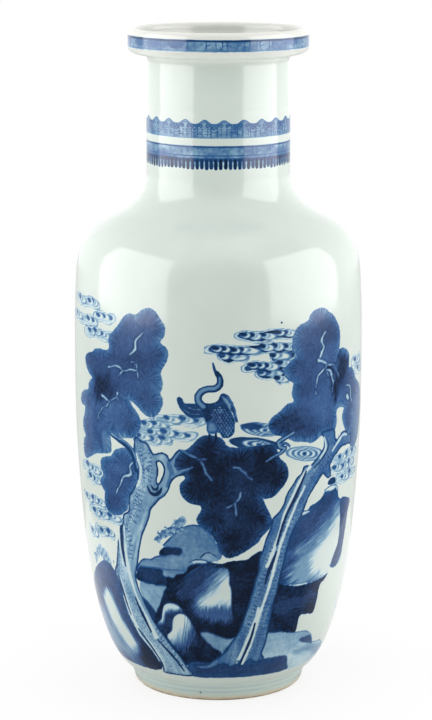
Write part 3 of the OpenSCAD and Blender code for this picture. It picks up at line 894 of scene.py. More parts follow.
def paint_right_rocks(skin):
    """Tall rock with a brushed white face and dark ledges, right of the right trunk."""
    wash(skin, [(84.5, 156), (87, 159.5), (92, 159.5), (93.5, 156), (90, 154.5)], 0.88)
    wash(skin, ROCK_RIGHT, 0.74)
    light(skin, [(50, 112), (60, 118), (72, 126), (84, 136), (94, 142), (100, 140), (88, 128), (74, 114),
                 (60, 106)], 0.62, 4, 28)
    light(skin, [(110, 139), (97, 138.5), (90, 132), (83, 124), (74, 115.5), (64, 109), (57, 103), (51, 97),
                 (55, 90), (76, 85), (98, 85), (110, 96)], 0.32, 6.5, 26, long=22, breadth=2.6, strength=0.9)
    light(skin, [(112, 132), (100, 130), (94, 123), (87, 116), (79, 110), (73, 104), (75, 97), (84, 90), (99, 86),
                 (112, 98)], 0.02, 5.2, 26, long=22, breadth=2.6, strength=0.8)
    light(skin, [(60, 113), (72, 121), (84, 129), (90, 127), (80, 116), (68, 109)],
          0.42, 4.5, 26, 18, 2.2, strength=1.2)
    wash(skin, [(102.5, 141.5), (114, 140.5), (121, 136.5), (117.5, 127.5), (115, 109), (111.5, 97), (104, 92.5),
                (97, 94.5), (99.5, 101), (105, 111.5), (104.5, 126)], 0.72)
    wash(skin, [(81.5, 151.5), (87, 153.6), (95, 152.6), (93, 150.8), (86, 151)], 0.05)
    stroke(skin, [(81.5, 152), (87, 154), (95.5, 153), (98, 147)], 0.9, 0.7)
    wash(skin, [(58, 138), (63, 140.5), (69, 140.2), (64, 138.4)], 0.05)
    stroke(skin, [(60, 140.6), (64, 140.8), (69, 140.4)], 0.9, 0.75)
    wash(skin, [(40, 90), (52, 89), (62, 87), (80, 87.5), (92, 89), (94.5, 90), (91, 86.5), (86, 83.5), (85, 75),
                (84, 65.5), (82, 63), (75, 64), (68, 63.5), (66.5, 52), (60, 52.3), (50, 54), (38, 54), (38, 70)],
         0.95)
    light(skin, [(46, 79), (66, 79), (82, 79), (82, 74), (64, 70), (46, 68)], 0.82, 2.5, 0)


def paint_ground(skin):
    """Pale bank on the right and the dark strip of ground under the trunks."""
    wash(skin, [(36, 54), (50, 54.5), (58, 52.8), (66, 51.6), (78, 50.5), (84, 48), (89, 44.5), (93, 39),
                (100, 37.5), (108, 36.8), (114, 34), (120, 30.5), (135, 27), (150, 24), (140, 21.5), (100, 21.5),
                (66, 21.5), (45, 30), (34, 34), (35, 45)], 0.28, fade=(90, 50, 30, 0.13))
    light(skin, [(70, 37), (92, 37), (112, 33), (124, 27), (112, 25), (96, 30), (80, 33)], 0.36, 3, -12, hairs=0)
    stroke(skin, [(66, 51.6), (78, 50.5), (84, 48)], 0.9, 0.55)
    stroke(skin, [(93, 39), (100, 37.5), (108, 36.8), (114, 34), (122, 30)], 0.9, 0.45)
    stroke(skin, [(118, 70), (120, 62), (126, 57), (140, 53)], [0.8, 1.4, 0.8], 0.2)
    wash(skin, [(73, 45), (80, 45.8), (86, 46), (90, 42), (93.5, 38), (88, 39), (82, 40.5), (76, 42.5)], 0.76)
    wash(skin, [(-27, 23), (-27, 30), (-22, 34), (-10, 34), (0, 34), (15, 34), (30, 34.8), (45, 35), (61, 34.5),
                (65, 31), (68, 25), (71, 22), (60, 20.8), (30, 20.8), (0, 20.8), (-20, 21)], 0.76)


def paint_leaf_rock(skin):
    """Leaning rock at the left with a white face, and the shrub on top of it."""
    shrub(skin, [(-113, 98), (-108, 102), (-104, 105), (-99.5, 104), (-96, 102), (-93, 99)], 2.2, 0.42)
    wash(skin, ROCK_LEAF, 0.7, fade=(0, -84, -62, 0.9))
    light(skin, [(-140, 52), (-118, 60), (-106, 50), (-96, 40), (-86, 30), (-100, 27), (-124, 28), (-142, 36)],
          0.34, 6, -35)
    light(skin, [(-112, 66), (-106, 74), (-100, 76), (-94, 68), (-86, 57), (-78, 46), (-74, 38), (-80, 32),
                 (-92, 36), (-104, 48)], 0.3, 4.5, -55, long=18, breadth=2.4)
    light(skin, [(-107, 72.5), (-101, 76), (-96, 70.5), (-91, 62.5), (-85.6, 54.5), (-80.4, 47), (-77.4, 41),
                 (-83, 36.6), (-92, 41), (-99.5, 49), (-105.6, 57), (-110, 65)], 0.02, 3.0, -55, long=15,
          breadth=2.0, strength=0.8)
    light(skin, [(-62, 44), (-55, 36), (-53, 27), (-66, 24), (-76, 27), (-74, 34), (-70, 42)], 0.95, 4, -45)


def paint_left_pine(skin):
    """Foliage of the left pine, with pale reserved branches."""
    foliage(skin, PINE_LEFT, 0.64, PINE_LEFT_FEET)
    light(skin, [(-110, 240), (-98, 246), (-84, 247), (-80, 240), (-92, 237), (-104, 236)], 0.72, 3, 0, hairs=0)
    light(skin, [(-98, 230), (-84, 232), (-78, 226), (-84, 216), (-94, 212), (-98, 220)], 0.92, 5, 70, hairs=0)
    light(skin, [(-90, 192), (-81, 191), (-80, 184), (-84, 180), (-89, 181)], 0.48, 2, 90, hairs=0)
    foliage(skin, PAD_LEFT, 0.64, PAD_LEFT_FEET)
    # Pale branches
    for points, widths in [
            ([(-51.5, 265), (-54, 262), (-57, 259), (-57.6, 255), (-57, 252.5), (-62, 249)], [0.9, 1.8, 2.2, 1.0]),
            ([(-61, 244), (-58, 244.4), (-56, 242.5), (-56, 239.5), (-55.3, 234)], [0.9, 1.6, 0.8]),
            ([(-82, 238), (-74.5, 240), (-68, 237.6), (-62, 238.6), (-56.5, 239)], [0.9, 1.4, 1.4]),
            ([(-68, 237.6), (-72, 233)], [1.0, 0.7]),
            ([(-89, 217.4), (-86.5, 217), (-82, 214.6), (-77.5, 216), (-74, 219.4), (-73, 221.6)],
             [2.4, 1.4, 1.2, 2.4]),
            ([(-74.5, 219), (-72, 216.5)], [1.2, 0.8]),
            ([(-80.5, 214.6), (-85, 211), (-90, 207), (-93, 203), (-94, 199)], [1.2, 1.4, 0.8]),
            ([(-60, 176), (-63.5, 173), (-62.5, 169), (-63, 166.5), (-69, 164), (-72.5, 158), (-77, 151)],
             [0.9, 2.0, 1.8, 0.9])]:
        twig(skin, points, widths)


def paint_left_trunk(skin):
    """Leaning trunk of the left pine, with its looped side branch."""
    bark(skin, TRUNK_LEFT, 0.28, [(-38, 22), (-48, 45), (-62, 68), (-74, 92), (-70.5, 115), (-60, 140), (-51, 162),
                                  (-51, 192)], 0.14, 0.03)
    # Hole under the side branch, and the curls of bark below it
    index, arc, height = skin.window(np.array(TRUNK_LEFT_HOLE), 3)
    skin.wipe(index, inside_outline(curve(TRUNK_LEFT_HOLE, closed=True), arc, height))
    for points, width in [([(-49.5, 160), (-47.5, 156), (-44, 154.8), (-40.5, 157), (-39, 160)],
                           [1.2, 2.2, 2.6, 1.0]),
                          ([(-46.8, 161.5), (-45, 158.6), (-42.6, 158.6), (-41.4, 161.5)], [0.9, 1.8, 0.9])]:
        stroke(skin, points, width, 0.9)
    tint(skin, [(-34, 162), (-31.5, 170), (-33.5, 178)], [3.5, 4.0, 3.0], 0.52)
    # Outlines, and the dark branch with its pale top that leaves to the left
    stroke(skin, TRUNK_LEFT, 1.15, 0.82, closed=True)
    stroke(skin, TRUNK_LEFT_HOLE, 1.2, 0.88, closed=True)
    stroke(skin, [(-80, 192), (-73, 189.5), (-66.5, 187), (-61.5, 183), (-58.8, 177), (-57.6, 170)],
           [2.6, 4.4, 4.8, 3.4], 0.8)
    stroke(skin, [(-80, 192.6), (-74, 190.6), (-67, 188.6), (-61.5, 185), (-58.4, 179), (-57, 172)],
           [1.2, 1.0, 0.9, 0.8], 0.2)
    scales(skin, [(-49, 186), (-46.5, 178), (-46, 170), (-49, 162)], [0, 3.2, 6.4])
    scales(skin, [(-58, 158), (-62, 150), (-64, 140), (-68, 134)], [-1.8, -4.2, -6.6])
    scales(skin, [(-70, 128), (-69, 116), (-69, 104)], [-0.5, -2.8], tone=0.55)
    scales(skin, [(-50, 58), (-44, 50), (-37, 41), (-30, 30)], [1.6, 3.8], tone=0.55)
    # Pale ridges along the trunk
    for points, width in [
            ([(-57.8, 182), (-56, 176.7), (-54.2, 171), (-55.6, 164), (-58, 158.9)], 1.7),
            ([(-77, 127), (-77.4, 118), (-77, 108), (-75.8, 100)], 1.5),
            ([(-71.6, 128), (-71.9, 118), (-71.8, 108), (-70.8, 99), (-69.4, 91.5), (-68.3, 87)],
             [1.3, 1.5, 3.2, 2.6]),
            ([(-68.3, 87), (-66.3, 81), (-63, 74), (-59.6, 67.5), (-56.8, 61), (-54.3, 55), (-52.6, 50.6)],
             [1.8, 1.6, 4.0]),
            ([(-80.6, 90), (-77.2, 79), (-74.6, 69), (-72.6, 62), (-68.8, 54.4)], [1.2, 1.6, 2.0]),
            ([(-79.4, 76), (-77, 67), (-73.5, 60), (-69, 50.5), (-63.6, 44.5), (-58, 38.5), (-53.6, 31.4)],
             [1.4, 2.4, 1.8, 1.8]),
            ([(-62, 48.6), (-58, 43.6), (-54, 37.6), (-51, 31.6), (-49.6, 25)], [1.2, 2.0, 1.4])]:
        tint(skin, points, width, 0.05)
    # Dark grooves between them
    for points, width in [
            ([(-73.3, 129), (-74.5, 123), (-75, 115.6), (-74.4, 107.8), (-73.2, 99.4)], [1.4, 3.0, 2.6, 1.0]),
            ([(-67, 78), (-64.6, 71.6), (-61.2, 64.6), (-58.6, 59), (-56.2, 54)], [1.0, 2.6, 1.6]),
            ([(-82.5, 91), (-79.4, 81), (-76.8, 71), (-74.4, 63.6)], [1.0, 1.7, 1.0]),
            ([(-69, 54), (-64, 48.4), (-59.6, 43), (-55.6, 37), (-52.6, 31)], [1.0, 1.9, 1.2]),
            ([(-51.4, 48.6), (-46, 43.5), (-40, 37.5), (-35, 31.5), (-31.5, 25.5)], [1.2, 2.2, 1.4])]:
        stroke(skin, points, width, 0.86)


def paint_centre_pine(skin):
    """Dark foliage between the trunks, on the side branch."""
    foliage(skin, PINE_CENTRE, 0.9, PINE_CENTRE_FEET)
    for points in ([(-24, 187.4), (-19, 185), (-13, 181.5), (-10, 177.5), (-8, 173), (-4.5, 167.5)],
                   [(-13, 181.5), (-8, 181.7)], [(10, 176), (14, 176), (18, 171.5), (22.5, 167.5)],
                   [(15, 158.5), (13, 154.5), (11, 151), (5.5, 148)], [(11, 151), (12.5, 146), (12, 142)]):
        twig(skin, points, [1.6, 1.2], 0.34, 0.95)
    tint(skin, [(-31, 168), (-26.5, 172), (-22, 174), (-17, 176)], [2.6, 2.0, 0.9], 0.4)
    stroke(skin, [(-32, 166), (-27.5, 169.6), (-22.5, 171)], 1.0, 0.9)


def paint_right_pine(skin):
    """Foliage of the right pine, with pale reserved branches."""
    foliage(skin, PINE_RIGHT, 0.62, PINE_RIGHT_FEET)
    light(skin, [(94, 246), (106, 240), (104, 230), (94, 222), (90, 212), (86, 222), (90, 234)],
          0.9, 4, 60, hairs=0)
    light(skin, [(34, 205), (42, 210), (56, 208), (60, 200), (48, 196), (38, 198)], 0.84, 4, 20, hairs=0)
    light(skin, [(112, 205), (124, 214), (136, 206), (134, 188), (124, 178), (114, 184)], 0.5, 6, -30, hairs=0)
    # Pale branches, and their dark undersides
    for points, widths in [
            ([(78.4, 262.4), (75.4, 258.6), (75, 255), (77, 252.6), (74.6, 249), (73.6, 245.6), (72, 244)],
             [1.6, 2.8, 1.6, 2.8, 2.6]),
            ([(72, 244), (77, 242), (82, 240), (88.5, 239)], [2.8, 2.0, 1.2]),
            ([(80, 239), (76, 236.5), (72, 232.5), (70, 228), (69.8, 221)], [1.4, 1.4, 0.8]),
            ([(79, 236.6), (84, 234), (86.6, 230), (87, 224), (86, 220)], [1.2, 2.2, 1.8, 0.9]),
            ([(80, 234.6), (82.4, 231.6)], [1.2, 0.8]), ([(87.5, 238.6), (91, 234), (93.4, 229.6)], [1.2, 0.8]),
            ([(103.6, 221.6), (108, 220), (111, 217), (111.6, 211), (114.6, 206), (118.5, 202.5)],
             [1.4, 2.2, 1.8, 0.9]),
            ([(105, 214), (106.6, 212)], [4.4, 3.6])]:
        twig(skin, points, widths)
    for points in ([(81, 238), (85, 236.8), (89, 232)], [(83.6, 231), (85, 227), (84.8, 222)],
                   [(88, 226), (90, 220), (89, 214)]):
        tint(skin, points, [1.4, 0.9], 1.0)


def paint_right_trunk(skin):
    """Long grooved trunk of the right pine, with spreading roots."""
    bark(skin, TRUNK_RIGHT, 0.46, [(24, 32), (30, 60), (36, 90), (42, 115), (52, 142), (66, 164), (82, 180),
                                   (96, 187)], 0.08, 0.11)
    stroke(skin, TRUNK_RIGHT, 1.15, 0.82, closed=True)
    scales(skin, [(64, 152), (58, 141), (53, 130), (49, 116), (46, 102), (43.5, 88), (41, 74), (39.6, 60),
                  (37.5, 44)], [2.0, 4.4, 6.6], tone=0.66)
    scales(skin, [(36, 122), (31.6, 106), (28, 92), (24.6, 78), (20, 62), (13, 48)], [-2.0, -4.2], tone=0.68)
    scales(skin, [(100, 186), (92, 181), (84, 172), (74, 168)], [-1.0, 1.2, 3.4], tone=0.66)
    # Pale ridges along the trunk
    for points, width in [
            ([(66, 171), (61, 167), (56.8, 160.6), (53, 153.5), (49.5, 147), (46.2, 139.5), (44, 131), (41.6, 122),
              (38.5, 113), (35.5, 105)], [2.2, 1.6, 1.5, 2.4]),
            ([(62, 158), (56, 147), (51.6, 137.5), (47.4, 127), (44.4, 118), (42.2, 110), (40, 100), (37, 88),
              (34, 78), (31, 68), (28.6, 58), (26.4, 49), (23.4, 40), (20.4, 33)], [1.2, 1.8, 1.8, 2.2]),
            ([(30.4, 75), (28.6, 66), (25, 55), (21.4, 46), (18, 38), (14.6, 33.6)], [1.4, 2.6, 1.8]),
            ([(78.4, 190), (80, 186), (80, 181), (75, 176)], [1.0, 1.6, 1.0]),
            ([(106, 187), (100, 187.5), (95, 184.6), (88, 179)], [1.0, 1.6, 1.0])]:
        tint(skin, points, np.multiply(width, 1.3), 0.05)
    # Dark grooves between them
    for points, width in [
            ([(63, 169), (57.6, 157.5), (53.2, 149), (49.2, 142), (46, 134), (43.6, 126), (41.8, 119)],
             [1.2, 2.6, 2.0, 1.6]),
            ([(42, 115), (39, 107), (36.4, 100), (34.4, 92)], [1.2, 3.2, 1.0]),
            ([(28.4, 63.5), (26.4, 54), (23.4, 45), (20.8, 38), (18.4, 31.6)], [1.6, 2.4, 1.6]),
            ([(82, 188), (83, 182), (78, 176), (70, 170)], [1.0, 1.4, 0.9])]:
        stroke(skin, points, width, 0.87)
    # Knots in the roots
    for arc, height in ((16, 33.6), (36.6, 35.6)):
        stroke(skin, [(arc + 1.8 * math.cos(k), height + 1.5 * math.sin(k)) for k in np.arange(0, 5.4, 0.6)],
               1.0, 0.7)
    # Bare branch at the left: dark, then its pale middle
    for wide, tone in ((1.0, 0.88), (0.45, 0.3)):
        stroke(skin, [(52, 197), (46, 194.5), (40.5, 191.5), (42, 188), (45.5, 187), (42, 184), (37, 182),
                      (32, 179)], [3.0 * wide, 3.6 * wide, 3.0 * wide, 1.6 * wide], tone)
        stroke(skin, [(41, 190), (46, 190.5), (49, 188)], [2.4 * wide, 1.4 * wide], tone)


def paint_crane(skin):
    """Crane on the centre foliage, with its neck bent back, the wings half open and the head raised."""
    # Legs
    for arc in (-6, -1.8):
        stroke(skin, [(arc, 201), (arc + 0.2, 197), (arc - 0.4, 193.5)], [1.6, 1.4, 1.8], 0.97)
    # Left wing and its feathers
    wash(skin, [(-27.3, 222.6), (-25.6, 224), (-23.5, 222.6), (-22.4, 219.6), (-19, 219.4), (-14, 219.8), (-9, 219),
                (-7, 212), (-12, 210.2), (-16, 209.3), (-20, 210.8), (-23, 213.5), (-26, 217.5)], 0.78)
    for arc, height, turn in ((-21.6, 214.6, -0.5), (-19, 213, -0.4), (-16.2, 212.2, -0.2), (-13.4, 212.4, 0),
                              (-18.6, 216.4, -0.3), (-15.6, 215.6, -0.2), (-12.6, 215.6, 0)):
        centre, way = np.array([arc, height]), np.array([math.cos(turn), math.sin(turn)])
        stroke(skin, [centre - 1.1 * way, centre + 1.1 * way], [0.7, 1.6, 0.7], 0.3)
    # Body with rows of feathers, and the pale thigh
    wash(skin, [(-10, 219), (-4, 219.4), (2, 220), (6, 217.4), (8.8, 213), (10.4, 208), (10.5, 202), (9, 198.4),
                (6, 196.6), (3, 196.8), (0.8, 199.8), (-1, 200.2), (-5, 199.8), (-7, 204), (-8.6, 209), (-10, 214)],
         0.86)
    across, down = 2.1, 1.75
    for row in range(12):
        for step in range(9):
            arc = -7.5 + across * step + (row % 2) * across / 2
            height = 217.4 - down * row
            on_body = (arc - 1.6 - (214 - height) * 0.2) ** 2 / 56 + (height - 207.6) ** 2 / 104 < 1
            if on_body:
                stroke(skin, [(arc - 0.25, height), (arc + 0.25, height - 0.2)], 0.95, 0.3)
    wash(skin, [(-7, 208.5), (-4, 208), (-1, 205), (-0.4, 201), (-2, 199.6), (-6.6, 199.8), (-8, 204)],
         0.4, rim=0.25)
    # Right wing and its feathers
    wash(skin, [(0, 222.4), (1.2, 225.4), (3, 226.8), (5.6, 225.8), (8.5, 222), (10.6, 217), (12, 211), (12.8, 207),
                (11.4, 207.2), (10.2, 211.5), (8.4, 215), (6, 217), (2.6, 218.4), (-1, 219)], 0.8)
    for shift in (0, 1.6, 3.2):
        stroke(skin, [(2.4 + shift * 0.4, 224.6 - shift), (5.2 + shift * 0.2, 222.6 - shift),
                      (8 - shift * 0.1, 218.6 - shift)], 0.8, 0.36)
    stroke(skin, [(5.4, 225), (8.6, 220.6), (10.6, 215), (11.9, 209)], 0.7, 0.42)
    stroke(skin, [(-9.6, 219.6), (-4, 219.6), (0, 221.4), (1.4, 224.6)], 1.2, 0.9)
    # Beak, and the neck with its pale middle
    neck = [(-1, 240.4), (0.9, 237), (0.8, 232.6), (-2.2, 230), (-7, 229.6), (-11, 227.8), (-13.2, 224.4),
            (-12.6, 220.6), (-9.6, 217.6)]
    stroke(skin, [(-3.6, 247), (-2.6, 243), (-1, 239.4)], [1.3, 1.8, 2.8], 0.76)
    stroke(skin, neck, [3.2, 4.8, 4.8, 5.0, 5.2], 0.9)
    stroke(skin, [(a - 0.2, z + 0.2) for a, z in neck[1:]], [1.4, 2.6, 2.8, 3.0], 0.4)


def band(skin, low, high, tone):
    """Wash right round the vase."""
    index, arc, height = skin.whole()
    inside = np.minimum(height - low, high - height) + 0.25 * skin.noise(arc / 2, height / 2)
    blue = tone + 0.3 * skin.noise(arc / 9, height / 5, 1) + 0.2 * skin.noise(arc / 2.5, height / 2, 2)
    skin.lay(index, inside, blue)


def hoop(skin, height, width, tone):
    """Line right round the vase, pressed harder here and there."""
    index, arc, heights = skin.whole()
    wide = width / 2 + 0.2 * skin.noise(arc / 6, heights * 0, 3)
    away = np.abs(heights - height - 0.3 * skin.noise(arc / 14, heights * 0, 4))
    skin.draw(index, wide - away, tone + 0.12 * skin.noise(arc / 11, heights * 0, 5))


def crackle(skin, low, high, gap, tone):
    """Uneven slanting lines across a band, like cracked ice, pressed more or less."""
    arc = -skin.round / 2
    while arc < skin.round / 2:
        slant, rise = skin.random.uniform(-3, 3), skin.random.uniform(0.35, 0.75)
        knee = (arc + slant * rise, low + (high - low) * rise)
        press = tone + skin.random.uniform(-0.16, 0.12)
        stroke(skin, [(arc, low), knee, (arc + slant * 0.3, high)], [0.5, 0.9, 0.6], press)
        if skin.random.random() < 0.6:
            stroke(skin, [knee, (knee[0] + gap * 0.6, knee[1] + skin.random.uniform(-1.6, 1.6))], [0.8, 0.5],
                   press - 0.06)
        arc += gap * skin.random.uniform(0.5, 1.5)


# Lappets in the upper border of the neck, how far right of the front one of them stands in millimetres, and
# tassels in the lower border
LAPPETS = 23
LAPPET_PLACE = 4
TASSELS = 97


def paint_lappets(skin):
    """Upper border of the neck: pointed lappets with curls over a fret."""
    pitch = skin.round / LAPPETS
    index, arc, height = skin.whole()
    count = (arc - LAPPET_PLACE) / pitch
    phase = np.abs(count - np.round(count))
    roof = 400.6 + 1.3 * np.cos(math.pi * np.minimum(phase / 0.43, 1)) - height
    roof = roof + 0.8 * skin.noise(arc / 5, height * 0, 8)
    inside = np.minimum(roof, height - 389.7) + 0.3 * skin.noise(arc / 2, height / 2)
    patches = 0.22 * skin.noise(arc / 7, height / 5, 1) + 0.2 * skin.noise(arc / 2.2, height / 1.8, 2)
    skin.lay(index, inside, 0.36 + 0.08 * smooth(0.26, 0.36, phase) + patches)
    skin.draw(index, 0.3 - np.abs(roof - 0.3), 0.66)
    skin.draw(index, np.minimum(0.27 - np.abs(roof - 1.5), 4 - 11 * phase), 0.54)
    hoop(skin, 389.9, 0.6, 0.4)
    # Curls, stems and fret lines on both sides of each lappet
    for number in range(LAPPETS):
        middle = (number - LAPPETS // 2) * pitch + LAPPET_PLACE
        press = skin.random.uniform(0.56, 0.74)
        for side in (-1, 1):
            curl = [(middle + side * (2.3 + 1.5 * math.cos(k) * (1 - k / 9)),
                     397.7 + 1.4 * math.sin(k) * (1 - k / 9))
                    for k in np.arange(0, 6, 0.7)]
            stroke(skin, curl, 0.75, press + 0.08)
            stroke(skin, [(middle + side * 4.8, 398.6), (middle + side * 4.6, 390.4)], [0.8, 0.5], press)
            stroke(skin, [(middle + side * 6.4, 398.2), (middle + side * 5.6, 396.6), (middle + side * 6.5, 395.2)],
                   0.8, press)
            for level in (395.6, 394.0, 392.4):
                start, end = sorted(skin.random.uniform(0.2, 4.2, 2))
                stroke(skin, [(middle + side * start, level),
                              (middle + side * (end + 0.8), level + skin.random.uniform(-0.2, 0.2))], 0.55, press)
            stem = skin.random.uniform(0.8, 3.2)
            stroke(skin, [(middle + side * stem, 395.6), (middle + side * stem, 391.2)], 0.55, press)
            stroke(skin, [(middle + side * 5.4, 393.6), (middle + side * 6.7, 393.4)], 0.6, press)


def paint_fringe(skin):
    """Lower border of the neck: a cracked-ice band, and the fringe that hangs from it."""
    band(skin, 376.3, 384.4, 0.42)
    crackle(skin, 378.4, 383.2, 6, 0.5)
    hoop(skin, 383.9, 1.0, 0.72)
    hoop(skin, 377.9, 0.7, 0.66)
    band(skin, 370.6, 376.4, 0.3)
    band(skin, 374.0, 376.5, 0.72)
    for number in range(TASSELS):
        middle = (number - TASSELS / 2) * skin.round / TASSELS + skin.random.uniform(-0.2, 0.2)
        foot = 369.9 + skin.random.uniform(-0.5, 0.4)
        stroke(skin, [(middle, 374.8), (middle, foot)], [2.1, 2.4], 0.88 + skin.random.uniform(-0.1, 0.1))


def paint_rim(skin):
    """Cracked-ice border on the upright edge of the mouth, darkest along its top."""
    band(skin, 447.8, 455.4, 0.42)
    crackle(skin, 449.0, 454.8, 5, 0.62)
    for start in skin.random.uniform(-195, 195, 9):
        wash(skin, [(start, 452), (start + 3, 455), (start + 9, 455), (start + 13, 453), (start + 7, 449.6)], 0.58)
    hoop(skin, 455.0, 1.4, 0.82)
    hoop(skin, 448.6, 0.8, 0.46)


def paint_body(skin):
    """The whole scene: the back first, then the front from the far things to the near ones."""
    land = (paint_far_clouds, paint_hills, paint_centre_rocks, paint_right_rocks, paint_ground, paint_leaf_rock)
    skin.turn = skin.round / 2
    for paint in (*land, paint_right_pine, paint_right_trunk):
        paint(skin)
    skin.turn = 0.0
    # A speck of cobalt that fell beside the right pine
    stroke(skin, [(42.2, 272.5), (42.8, 272.5)], 1.1, 1.0)
    for paint in (*land, paint_left_pine, paint_left_trunk, paint_centre_pine, paint_right_pine, paint_right_trunk,
                  paint_crane):
        paint(skin)


def turn_piece(name, outer, inner, steps):
    """Turns a closed outline about the vase's axis: half over the front and half round the back."""
    outline = np.concatenate([outer, inner])
    bpy.ops.object.select_all(action="DESELECT")
    bpy.ops.mesh.primitive_plane_add(size=MM)
    front = bpy.context.object
    bpy.ops.object.mode_set(mode="EDIT")
    bpy.ops.mesh.merge(type="CENTER")
    bpy.ops.transform.translate(value=(-outline[0][0], 0, outline[0][1]))
    for step in np.diff(np.concatenate([outline, outline[:1]]), axis=0):
        bpy.ops.mesh.extrude_region_move(TRANSFORM_OT_translate={"value": (-step[0], 0, step[1])})
    bpy.ops.mesh.select_all(action="SELECT")
    bpy.ops.mesh.remove_doubles(threshold=MERGE)
    bpy.ops.object.mode_set(mode="OBJECT")
    bpy.ops.object.duplicate()
    back = bpy.context.object
    for half, count, turn in ((front, steps[0], math.pi), (back, steps[1], -math.pi)):
        bpy.context.view_layer.objects.active = half
        bpy.ops.object.modifier_add(type="SCREW")
        screw = half.modifiers[-1]
        screw.angle, screw.steps, screw.render_steps = turn, count, count
        bpy.ops.object.modifier_apply(modifier=screw.name)
    front.select_set(True)
    bpy.context.view_layer.objects.active = front
    bpy.ops.object.join()
    front.name = front.data.name = name
    bpy.ops.object.mode_set(mode="EDIT")
    bpy.ops.mesh.select_all(action="SELECT")
    bpy.ops.mesh.remove_doubles(threshold=MERGE)
    bpy.ops.mesh.normals_make_consistent(inside=False)
    bpy.ops.object.mode_set(mode="OBJECT")
    bpy.ops.object.shade_smooth_by_angle(angle=CRISP_ANGLE)
    return front


def places(piece):
    """Places of a piece's points, in metres."""
    flat = np.empty(3 * len(piece.data.vertices))
    piece.data.vertices.foreach_get("co", flat)
    return flat.reshape(-1, 3)


def rows_of(points, outline):
    """Row of the outline that each point was turned from."""
    radius = np.hypot(points[:, 0], points[:, 1])
    rows = np.empty(len(points), int)
    for start in range(0, len(points), MATCH_COUNT):
        part = slice(start, start + MATCH_COUNT)
        away = (radius[part, None] - outline[:, 0]) ** 2 + (points[part, 2, None] - outline[:, 1]) ** 2
        rows[part] = np.argmin(away, axis=1)
    return rows


# Strips of the unrolled sheet, as shares of it: the feet of the front and the back strip and their height, for the
# outside and for the inside, the bare edge under a strip, and the breadth of half a turn
OUTSIDE_FEET, OUTSIDE_TALL = (0.0, 0.45), 0.44
INSIDE_FEET, INSIDE_TALL = (0.9, 0.95), 0.04
STRIP_EDGE = 0.005
STRIP_WIDE = 0.98


def unroll(piece, points, rows, outline, outer_count):
    """Unrolls a piece for baking: its outside as two wide strips, front and back, and its inside as narrow ones."""
    mesh = piece.data
    corner_point = np.empty(len(mesh.loops), int)
    mesh.loops.foreach_get("vertex_index", corner_point)
    starts = np.empty(len(mesh.polygons), int)
    mesh.polygons.foreach_get("loop_start", starts)
    counts = np.diff(np.append(starts, len(mesh.loops)))
    x, y = points[corner_point, 0], points[corner_point, 1]
    middle_x = np.repeat(np.add.reduceat(x, starts) / counts, counts)
    middle_y = np.repeat(np.add.reduceat(y, starts) / counts, counts)
    back = (middle_y > 0).astype(int)
    side = 1 - 2 * back
    on_axis = np.hypot(x, y) < MERGE
    turn = np.arctan2(np.where(on_axis, middle_x, x) * side, -np.where(on_axis, middle_y, y) * side)
    row = rows[corner_point]
    last = len(outline) - 1
    closing = (np.repeat(np.maximum.reduceat(row, starts), counts) == last) & (
        np.repeat(np.minimum.reduceat(row, starts), counts) == 0)
    row = np.where(closing & (row == 0), last + 1, row)
    outside = np.repeat(np.maximum.reduceat(row, starts), counts) < outer_count
    strides = np.linalg.norm(np.diff(np.concatenate([outline, outline[:1]]), axis=0), axis=1)
    run = np.concatenate([[0], np.cumsum(strides)])
    edge = run[outer_count - 1]
    up = np.where(outside, run[row] / edge, (run[row] - edge) / (run[-1] - edge))
    low = np.where(outside, np.take(OUTSIDE_FEET, back), np.take(INSIDE_FEET, back))
    tall = np.where(outside, OUTSIDE_TALL, INSIDE_TALL)
    uv = np.stack([0.5 + STRIP_WIDE * turn / math.pi, low + STRIP_EDGE + tall * up], axis=1)
    mesh.uv_layers.new(name="OFBake").data.foreach_set("uv", uv.ravel())


def brush_on(piece, points, rows, outer_count, skin):
    """Gives a piece's outside the painting of a skin, and leaves its inside bare."""
    bare = [FAR, 0.0, FAR, 0.0, 0.0, 0.0, 0.0]
    values = np.tile(bare, (len(points), 1))
    outside = rows < outer_count
    arc = np.arctan2(points[outside, 0], -points[outside, 1]) * skin.radius
    values[outside] = skin.sample(arc, points[outside, 2] / MM)
    brushwork = piece.data.attributes.new("brushwork", "FLOAT_COLOR", "POINT")
    brushwork.data.foreach_set("color", values[:, :4].ravel())
    hairs = piece.data.attributes.new("hairs", "FLOAT_VECTOR", "POINT")
    hairs.data.foreach_set("vector", values[:, 4:].ravel())


def make_piece(node, rows, material, steps, skin=None):
    """Turns a piece, unrolls and paints it, hangs it on the root and hides its solid."""
    outer, inner = rows
    piece = turn_piece(node + "_porcelain", outer, inner, steps)
    outline = np.concatenate([outer, inner])
    points = places(piece)
    from_row = rows_of(points, outline)
    unroll(piece, points, from_row, outline, len(outer))
    if skin is not None:
        brush_on(piece, points, from_row, len(outer), skin)
    piece.data.materials.clear()
    piece.data.materials.append(material)
    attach(piece, "root")
    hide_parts(node)


def add(tree, kind, inputs=None, **settings):
    """Adds a node with its settings, and sets or links its inputs."""
    node = tree.nodes.new("ShaderNode" + kind)
    for name, value in settings.items():
        setattr(node, name, value)
    for name, value in (inputs or {}).items():
        if isinstance(value, bpy.types.NodeSocket):
            tree.links.new(value, node.inputs[name])
        else:
            node.inputs[name].default_value = value
    return node


def new_material(name):
    """Empty material, its node tree and its output."""
    material = bpy.data.materials.new(name)
    material.use_nodes = True
    material.node_tree.nodes.clear()
    return material, material.node_tree, add(material.node_tree, "OutputMaterial")


def per(size):
    """Scale of a pattern whose bumps are a size in millimetres."""
    return 1000 / size


